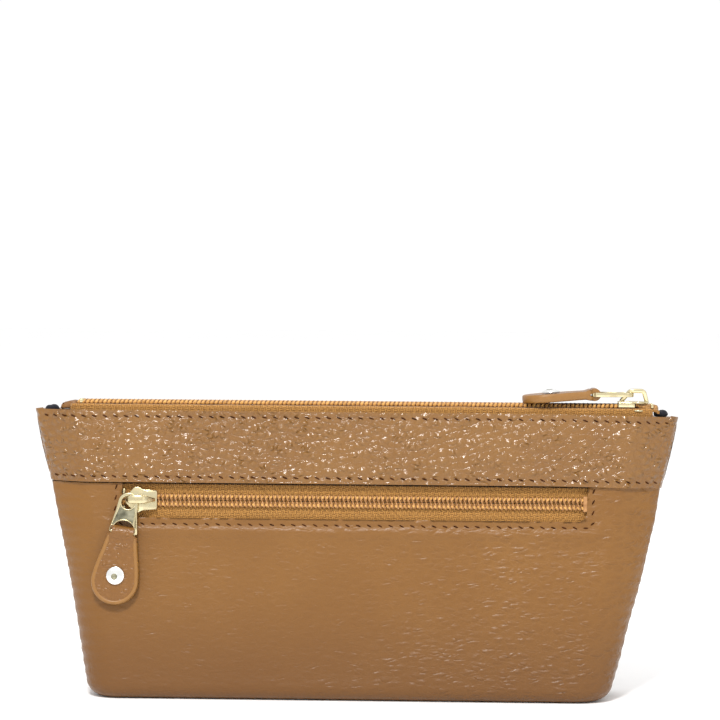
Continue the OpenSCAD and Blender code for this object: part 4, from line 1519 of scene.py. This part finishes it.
def tab(kind, place):
    """The leather tab: one strip folded round the bar, creased along its edge and painted there."""
    node = kind + "_pull_tab"
    far = place.measure(node)[1] / MM
    end_r, length = far.y, far.x
    centre = length - end_r
    layer, lie = 1.2, 0.66
    fold_r, fold_half, shoulder_half = 1.38, 3.4, 4.75

    def half_width(x):
        """Half the tab's width at a distance from the bar: narrow at the fold, round at the end."""
        if x > centre:
            return math.sqrt(max(end_r ** 2 - (x - centre) ** 2, 0.0))
        grow = min(max((x - 1.9) / (centre - 1.9), 0), 1)
        widening = 0.35 * grow + 0.65 * math.sin(grow * math.pi / 2) ** 1.6
        body = shoulder_half + (end_r - shoulder_half) * widening
        step = min(max((x - 0.35) / 1.0, 0), 1)
        return fold_half + (body - fold_half) * step * step * (3 - 2 * step)

    def height(x):
        """Middle of the upper layer above the tab's middle plane: high at the bar, then flat."""
        s = min(max(x / 3.4, 0), 1)
        return fold_r + (lie - fold_r) * s * s * (3 - 2 * s)

    ends = [centre + end_r * math.sin(a) for a in np.radians(np.linspace(86, 5, 18))]
    run = list(np.linspace(centre, 0.25, 44))
    upper = [(x, height(x)) for x in ends + run]
    bend = [(fold_r * math.cos(a), fold_r * math.sin(a)) for a in np.radians(np.linspace(90, 270, 13))]
    lower = [(x, -z) for x, z in reversed(upper)]
    path = upper + bend + lower
    across = np.sin(np.linspace(-math.pi / 2, math.pi / 2, 27))
    grid = []
    for x, z in path:
        half = half_width(max(x, 0))
        facing = 1 if z > 0 else -1
        row = []
        for v in across:
            y = v * half
            inset = half - abs(y) if x <= centre else end_r - math.hypot(x - centre, y)
            crease = -0.10 * bell(inset, 1.05, 0.3) - 0.22 * bell(inset, 0, 0.5)
            crease = crease if x > 0.6 else 0.0
            row.append(place.at(x * MM, y * MM, (z + facing * crease) * MM))
        grid.append(row)
    outer = grid_object(kind + "_tab_leather", np.array(grid), tab_leather, paint, flip=False)
    solid = thicken(outer, layer * MM, roll=0.28 * MM, segments=3, rim=1).modifiers["thickness"]
    solid.offset = 0.0
    settle(outer)
    show(outer, kind + "_tab", "tab_leather", node)
    painted_edge(kind, place, half_width, height, centre, end_r, layer)


def painted_edge(kind, place, half_width, height, centre, end_r, layer):
    """The tab's painted edge: a bead that follows its outline from the metal bar round the end and back."""
    inset, proud, start_x, ring_points = 0.55, 0.22, 1.35, 16
    rim = [(x, half_width(x) - inset) for x in np.linspace(start_x, centre, 40)]
    rim += [(centre + (end_r - inset) * math.sin(a), (end_r - inset) * math.cos(a))
            for a in np.radians(np.linspace(4, 90, 22))]
    rim = np.array(rim + [(x, -y) for x, y in rim[-2::-1]])
    ahead = np.gradient(rim, axis=0)
    ahead /= np.linalg.norm(ahead, axis=1, keepdims=True)
    rings = []
    for (x, y), (dx, dy) in zip(rim, ahead):
        thick = height(x) + layer / 2 + 0.06
        swell = (inset + proud) * min(0.45 + 0.55 * (x - start_x) / 1.5, 1)
        ring = []
        for a in np.radians(np.linspace(0, 360, ring_points, endpoint=False)):
            out = swell * math.copysign(abs(math.cos(a)) ** 0.8, math.cos(a))
            up = thick * math.copysign(abs(math.sin(a)) ** 0.55, math.sin(a))
            ring.append(place.at((x - dy * out) * MM, (y + dx * out) * MM, up * MM))
        rings.append(ring)
    faces = grid_faces(len(rings), ring_points, closed=True)
    last = (len(rings) - 1) * ring_points
    faces += [tuple(range(ring_points)), tuple(last + j for j in range(ring_points))]
    points = [tuple(p) for p in np.array(rings).reshape(-1, 3)]
    sealed = mesh_object(kind + "_tab_edge", points, faces, paint)
    face_outwards(sealed.data)
    sealed.data.shade_smooth()
    show(sealed, kind + "_tab", "tab_leather", kind + "_pull_tab")


def rivet(kind, place):
    """The rivet through the tab: its polished head, a darker disc set off-centre in its dimple, and the back.
    """
    low, high = (v / MM for v in place.measure(kind + "_rivet_cap"))
    x, r, top = (low.x + high.x) / 2, (high.y - low.y) / 2, high.z - low.z
    dome = [(r - 0.15, 0.0), (r, 0.12), (r - 0.08, 0.28)]
    dome += [(r * math.cos(a), 0.25 + (top - 0.25) * math.sin(a))
             for a in np.radians(np.linspace(18, 68, 8))]
    dome += [(0.30 * r, top - 0.02), (0.24 * r, top - 0.06), (0.17 * r, top - 0.22), (0.06 * r, top - 0.3)]
    cap = turned(kind + "_rivet_head", place, dome, nickel, shift=(x, 0, low.z), skew=(0.25, -0.15))
    show(cap, kind + "_tab", "rivet_nickel", kind + "_rivet_cap")
    # A darker disc of the same grey-olive metal as the pull's sunk panel, set off-centre in the head's dimple.
    dish = [(0.92, top - 0.2), (0.98, top + 0.02), (0.8, top + 0.03), (0.55, top - 0.08), (0.2, top - 0.12)]
    dimple = turned(kind + "_rivet_dimple", place, dish, dark_olive_metal, shift=(x + 0.35, -0.2, low.z),
                    segments=24, skew=(-0.25, 0.15))
    show(dimple, kind + "_tab", "rivet_nickel")
    back_low, back_high = (v / MM for v in place.measure(kind + "_rivet_stud"))
    back_r = (back_high.y - back_low.y) / 2
    profile = [(back_r - 0.1, 0.45), (back_r, 0.3), (back_r - 0.12, 0.06), (back_r * 0.5, 0.0), (0.2, 0.1)]
    stud = turned(kind + "_rivet_back", place, profile, nickel, shift=(x, 0, back_low.z))
    show(stud, kind + "_tab", "rivet_nickel", kind + "_rivet_stud")


tab_places = {}
for kind in ("pocket", "top"):
    tab_places[kind] = tab_frame(kind, pull_places[kind])
    tab(kind, tab_places[kind])
    rivet(kind, tab_places[kind])

# %% [markdown]
# ## Ends of the zips
# A crimped clip stops each slider. At the closed end of the top zip a leather patch covers the raw tapes,
# and at the open end the tapes are turned down past the slider.

# %% Stops, end patch and tape ends


def clip_outline(low, high):
    """A small clip's outline: a rectangle with its corners cut."""
    r = 0.15
    return [(low.x, low.y + r), (low.x + r, low.y), (high.x - r, low.y), (high.x, low.y + r),
            (high.x, high.y - r), (high.x - r, high.y), (low.x + r, high.y), (low.x, high.y - r)]


for kind, zip_frame in (("pocket", pocket_zip), ("top", top_zip)):
    low, high = (v / MM for v in zip_frame.measure(kind + "_bottom_stop"))
    finish, slot = (coil_nylon, "zip_coil") if kind == "pocket" else (pale_gold, "zip_metal")
    stop = plate(kind + "_foot_clip", zip_frame, clip_outline(low, high), low.z, high.z, finish, roll=0.25)
    show(stop, "pouch", slot, kind + "_bottom_stop")
    low, high = (v / MM for v in zip_frame.measure(kind + "_top_stops"))
    third = (high.y - low.y - 1.6)
    for shift, word in ((0, "left"), (third, "right")):
        a, b = Vector((low.x, low.y + shift, 0)), Vector((high.x, low.y + shift + 1.6, 0))
        clip = plate(f"{kind}_head_clip_{word}", zip_frame, clip_outline(a, b), low.z, high.z, pale_gold,
                     roll=0.2)
        show(clip, "pouch", "zip_metal", kind + "_top_stops")


def end_patch():
    """A small leather patch, folded over the tapes and sloping down to the pouch's end."""
    low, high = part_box("top_end_tab")
    middle_x, half_x, half_y = (low.x + high.x) / 2, (high.x - low.x) / 2, high.y
    grid = []
    for v in np.linspace(-1, 1, 19):
        row = []
        for u in np.linspace(-1, 1, 19):
            slope_z = high.z - 1.3 * MM * (1 - u) / 2
            fall = 1 - (1 - abs(u) ** 5) ** 0.5 * (1 - abs(v) ** 4) ** 0.5
            row.append((middle_x + half_x * u * (1 - 0.06 * v * v), half_y * v * (1 - 0.06 * u * u),
                        slope_z - (slope_z - low.z) * fall * 0.97))
        grid.append(row)
    obj = grid_object("end_patch_leather", np.array(grid), tab_leather)
    thicken(obj, 0.9 * MM, roll=0.2 * MM)
    run_group(obj, pebbles, {"Cell": tab_cell, "Height": 0.1 * MM, "Warp": 1.3})
    settle(obj)
    show(obj, "pouch", "tab_leather", "top_end_tab")
    foot = [Vector((low.x + 0.9 * MM, y, high.z - 1.45 * MM))
            for y in np.linspace(-0.7 * half_y, 0.7 * half_y, 8)]
    sewn = stitch_row("end_patch_stitches", [foot], [[Vector((0, 0, 1))] * 8], pitch=1.5 * MM,
                      length=0.9 * MM, width=0.35 * MM, slant=0.2)
    return show(sewn, "pouch", "tab_leather")


def tape_ends():
    """Both tapes' ends, bunched and curled down past the slider."""
    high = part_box("top_tape_tail")[1]
    nose_x = high.x - 7.2 * MM
    rng = np.random.default_rng(11)
    bumps = rng.uniform(-1, 1, (5, 3))
    grid = []
    for s in np.linspace(0, 1, 26):
        angle = math.pi * 0.62 * max(s - 0.35, 0) / 0.65
        x = nose_x + (high.x - nose_x - 1.4 * MM) * min(s / 0.6, 1) + 1.3 * MM * math.sin(angle)
        z = high.z - 0.9 * MM * (1 - math.cos(angle)) - 0.5 * MM * s
        row = []
        for v in np.linspace(-1, 1, 25):
            crumple = sum(b[0] * math.sin(5 * b[1] * v + 7 * b[2] * s + k) for k, b in enumerate(bumps))
            y = 3.1 * MM * v * (1 - 0.15 * s)
            row.append((x + 0.12 * MM * crumple, y, z + (0.28 * crumple - 0.9 * v * v * s) * MM))
        grid.append(row)
    obj = grid_object("tape_ends_cloth", np.array(grid), tape_cloth, flip=True)
    solid = thicken(obj, 0.8 * MM, roll=0.15 * MM).modifiers["thickness"]
    solid.offset = 0.0
    settle(obj)
    return show(obj, "pouch", "zip_tape", "top_tape_tail")


end_patch()
tape_ends()

# %% [markdown]
# ## Linings
# The lining is dark cloth, glued at its edges and loose between them. Its walls follow the skin a little way
# in, with shallow folds made by a rule. It shows in the open mouth and as two small tucks at the mouth's
# ends.

# %% Lining walls, floor, facings and pocket bag
lining_columns = slice(None, None, 4)


def cloth_folds(grid, amount):
    """Shallow folds: long soft waves that cross each other."""
    x, z = grid[..., 0] / MM, grid[..., 2] / MM
    crossing = 0.5 * np.sin(x / 7.3 + 0.09 * z) * np.sin(z / 11.0 + 0.4)
    return amount * (crossing + 0.5 * np.sin(x / 15.0 - z / 8.0))


lining_t = 0.45 * MM


def lining_wall(name, node, side):
    """The lining behind one panel, with its folds. The front one is cut away at the pocket's zip."""
    low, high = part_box(node)
    heights = np.linspace(low.z + 0.2 * MM, high.z - 0.4 * MM, 32)
    grid = skin_grid(heights, np.full(32, -leather_t - 0.55 * MM), side)[:, lining_columns]
    inward = -outward(grid, side)
    fade = np.clip((high.z - heights) / (6 * MM), 0, 1)[:, None]
    upward = np.sin(np.pi * np.clip(heights / seam_z, 0, 1) ** 0.7)[:, None]
    bulge = 0.9 * bell(grid[..., 0], -4 * MM, 62 * MM) * upward
    move = (0.45 + cloth_folds(grid, 0.4)) * fade - bulge * 0.8
    grid = settle_left(grid + inward * (move * MM)[..., None])
    skip = None
    if side < 0:
        tape_low, tape_high = pocket_zip.measure("pocket_tape_lower")
        hem_z = pocket_zip.at(0, tape_low.y, 0).z - 0.4 * MM
        centres = (grid[:-1, :-1] + grid[1:, 1:]) / 2
        skip = (centres[..., 2] > hem_z) & (np.abs(centres[..., 0]) < tape_high.x)
    obj = grid_object(name, grid, lining_cloth, skip=skip, flip=side > 0)
    thicken(obj, lining_t)
    settle(obj)
    show(obj, "pouch", "lining_cloth", node)
    return obj


def lining_floor():
    """The lining that lies on the base board."""
    low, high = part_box("lining_base")
    xs = np.linspace(low.x + 1 * MM, high.x - 1 * MM, 70)
    ys = np.linspace(low.y + 1 * MM, high.y - 1 * MM, 16)
    grid = np.array([[(x * (1 - 0.02 * abs(y / high.y) ** 6), y, high.z) for x in xs] for y in ys])
    grid[..., 2] += (0.15 + cloth_folds(grid[..., [0, 2, 1]], 0.15)) * MM
    grid = settle_left(grid)
    obj = grid_object("lining_floor_cloth", grid, lining_cloth)
    thicken(obj, lining_t)
    settle(obj)
    show(obj, "pouch", "lining_cloth", "lining_base")


def facing(side, mouth, word):
    """The cloth behind one top band, parted at the middle as the band is."""
    low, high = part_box("facing_" + word)
    inner, outer = min(abs(low.y), abs(high.y)), max(abs(low.y), abs(high.y))
    xs = np.linspace(low.x, high.x, 121)
    grid = np.array([
        [(x, side * (outer - 0.5 * MM + (inner - outer + 0.6 * MM) * s),
          low.z + (high.z - low.z) * s) for x in xs]
        for s in np.linspace(0, 1, 12)
    ])
    grid[..., 1] -= side * (0.12 + cloth_folds(grid, 0.12)) * MM
    obj = grid_object(f"facing_{word}_cloth", grid, lining_cloth, flip=side > 0)
    thicken(obj, lining_t)
    settle(obj)
    halves = bow_with_mouth(obj, mouth, "lining_cloth", "facing_" + word)


def pocket_bag():
    """Cloth from the window's head, back and down, along the bag's floor and up to the window's foot."""
    low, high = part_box("pocket_lining")
    back, top, floor = high.y - lining_t, high.z, low.z
    depth = leather_t + 1.1 * MM
    path = [(front_y(top) + depth, top - 0.2 * MM), (back - 1 * MM, top - 0.3 * MM), (back, top - 1.6 * MM)]
    path += [(back, z) for z in np.linspace(top - 3 * MM, floor + 3 * MM, 22)]
    path += [(back - 0.5 * MM, floor + 1.2 * MM), (back - 1.8 * MM, floor + 0.3 * MM)]
    path += [(y, floor + 0.1 * MM) for y in np.linspace(back - 3.2 * MM, front_y(floor) + depth + 2 * MM, 5)]
    path += [(front_y(floor) + depth + 0.5 * MM, floor + 0.4 * MM),
             (front_y(floor) + depth, floor + 1.4 * MM)]
    path += [(front_y(z) + depth, z) for z in np.linspace(floor + 3 * MM, window_z - 3 * MM, 18)]
    xs = np.linspace(low.x + 0.3 * MM, high.x - 0.3 * MM, 81)
    grid = []
    for y, z in path:
        near = front_y(z) + depth
        row = []
        for x in xs:
            pinch = 1 - abs(x / high.x) ** 10 * 0.92
            fold = 0.35 * MM * math.sin(x / (6.1 * MM) + z / (13 * MM)) * (y > back - 2 * MM) - 0.3 * MM
            row.append((x - lean_left * max(1 - z / seam_z, 0), near + (y + fold - near) * pinch, z))
        grid.append(row)
    grid = np.array(grid)
    obj = grid_object("pocket_bag_cloth", grid, lining_cloth)
    solid = thicken(obj, lining_t).modifiers["thickness"]
    solid.offset = 1
    settle(obj)
    show(obj, "pouch", "lining_cloth", "pocket_lining")


def lining_tuck(word, sign):
    """A small fold of lining that shows where the mouth ends."""
    centre = Vector((sign * (mouth_half_x - 3.6 * MM), 0, top_z + 0.1 * MM))
    points = []
    rings, segments = 14, 20
    for i in range(rings + 1):
        polar = math.pi * i / rings
        for j in range(segments):
            turn = 2 * math.pi * j / segments
            x, y, z = math.sin(polar) * math.cos(turn), math.sin(polar) * math.sin(turn), math.cos(polar)
            crease = 1 + 0.16 * math.sin(7 * turn + 2 * z) * math.sin(polar) + 0.1 * math.sin(5 * x + 3 * y)
            points.append(centre + Vector((x * 2.1, y * 1.35, z * 1.15)) * crease * MM)
    obj = mesh_object(f"lining_tuck_{word}", points, grid_faces(rings + 1, segments, closed=True),
                      lining_cloth)
    welded = bmesh.new()
    welded.from_mesh(obj.data)
    bmesh.ops.remove_doubles(welded, verts=welded.verts, dist=1e-7)
    bmesh.ops.recalc_face_normals(welded, faces=welded.faces)
    welded.to_mesh(obj.data)
    welded.free()
    return show(obj, "pouch", "lining_cloth")


lining_wall("lining_front_cloth", "lining_front", -1)
lining_wall("lining_back_cloth", "lining_back", 1)
lining_floor()
facing(-1, "mouth_front", "front")
facing(1, "mouth_back", "back")
pocket_bag()
lining_tuck("left", -1)
lining_tuck("right", 1)

# %% [markdown]
# ## The studio
# The floor is a wide flat white surface, and the air round it is white too, so the light is even from all
# sides. A smaller light in front and above gives the leather its small sharp highlights; two soft ones lift
# the shadows.

# %% Floor and lights


def studio_floor():
    """A wide flat white floor. Beyond it the air itself is white, so no edge shows."""
    grid = np.array([[(x, y, 0.0) for x in np.linspace(-4, 4, 3)] for y in np.linspace(-4, 6, 3)])
    material, tree, shader = new_material("studio_white", Roughness=0.9, Specular_IOR_Level=0.1)
    noise = add(tree, "ShaderNodeTexNoise", {"Vector": object_place(tree), "Scale": 3.0}).outputs["Fac"]
    tree.links.new(mix_colour(tree, noise, (0.975, 0.975, 0.975, 1), (0.985, 0.985, 0.985, 1)),
                   shader.inputs["Base Color"])
    return grid_object("studio_floor", grid, material, flip=False)


def soft_light(name, place, aim_at, size, power, colour=(1, 1, 1)):
    """A rectangular area light that is aimed at a place."""
    light = bpy.data.lights.new(name, "AREA")
    light.shape, light.size, light.size_y = "RECTANGLE", size[0], size[1]
    light.energy, light.color = power, colour
    obj = bpy.data.objects.new(name, light)
    bpy.context.scene.collection.objects.link(obj)
    obj.location = place
    obj.rotation_mode = "QUATERNION"
    obj.rotation_quaternion = (Vector(aim_at) - Vector(place)).to_track_quat("-Z", "Y")
    return obj


floor = studio_floor()
middle = (0, 0, top_z / 2)
soft_light("key_light", (-0.12, -0.85, 0.95), middle, (0.2, 0.17), 13.0, (1.0, 0.98, 0.96))
soft_light("fill_light", (0.9, -0.9, 0.5), middle, (0.6, 0.6), 1.2)
soft_light("top_light", (0.1, 0.1, 1.3), middle, (1.2, 0.8), 1.5)
world = bpy.data.worlds.new("studio_air")
bpy.context.scene.world = world
world.use_nodes = True
world.node_tree.nodes["Background"].inputs["Color"].default_value = (1.0, 1.0, 1.0, 1)
world.node_tree.nodes["Background"].inputs["Strength"].default_value = 1.02
bpy.context.scene.view_settings.view_transform = "Standard"
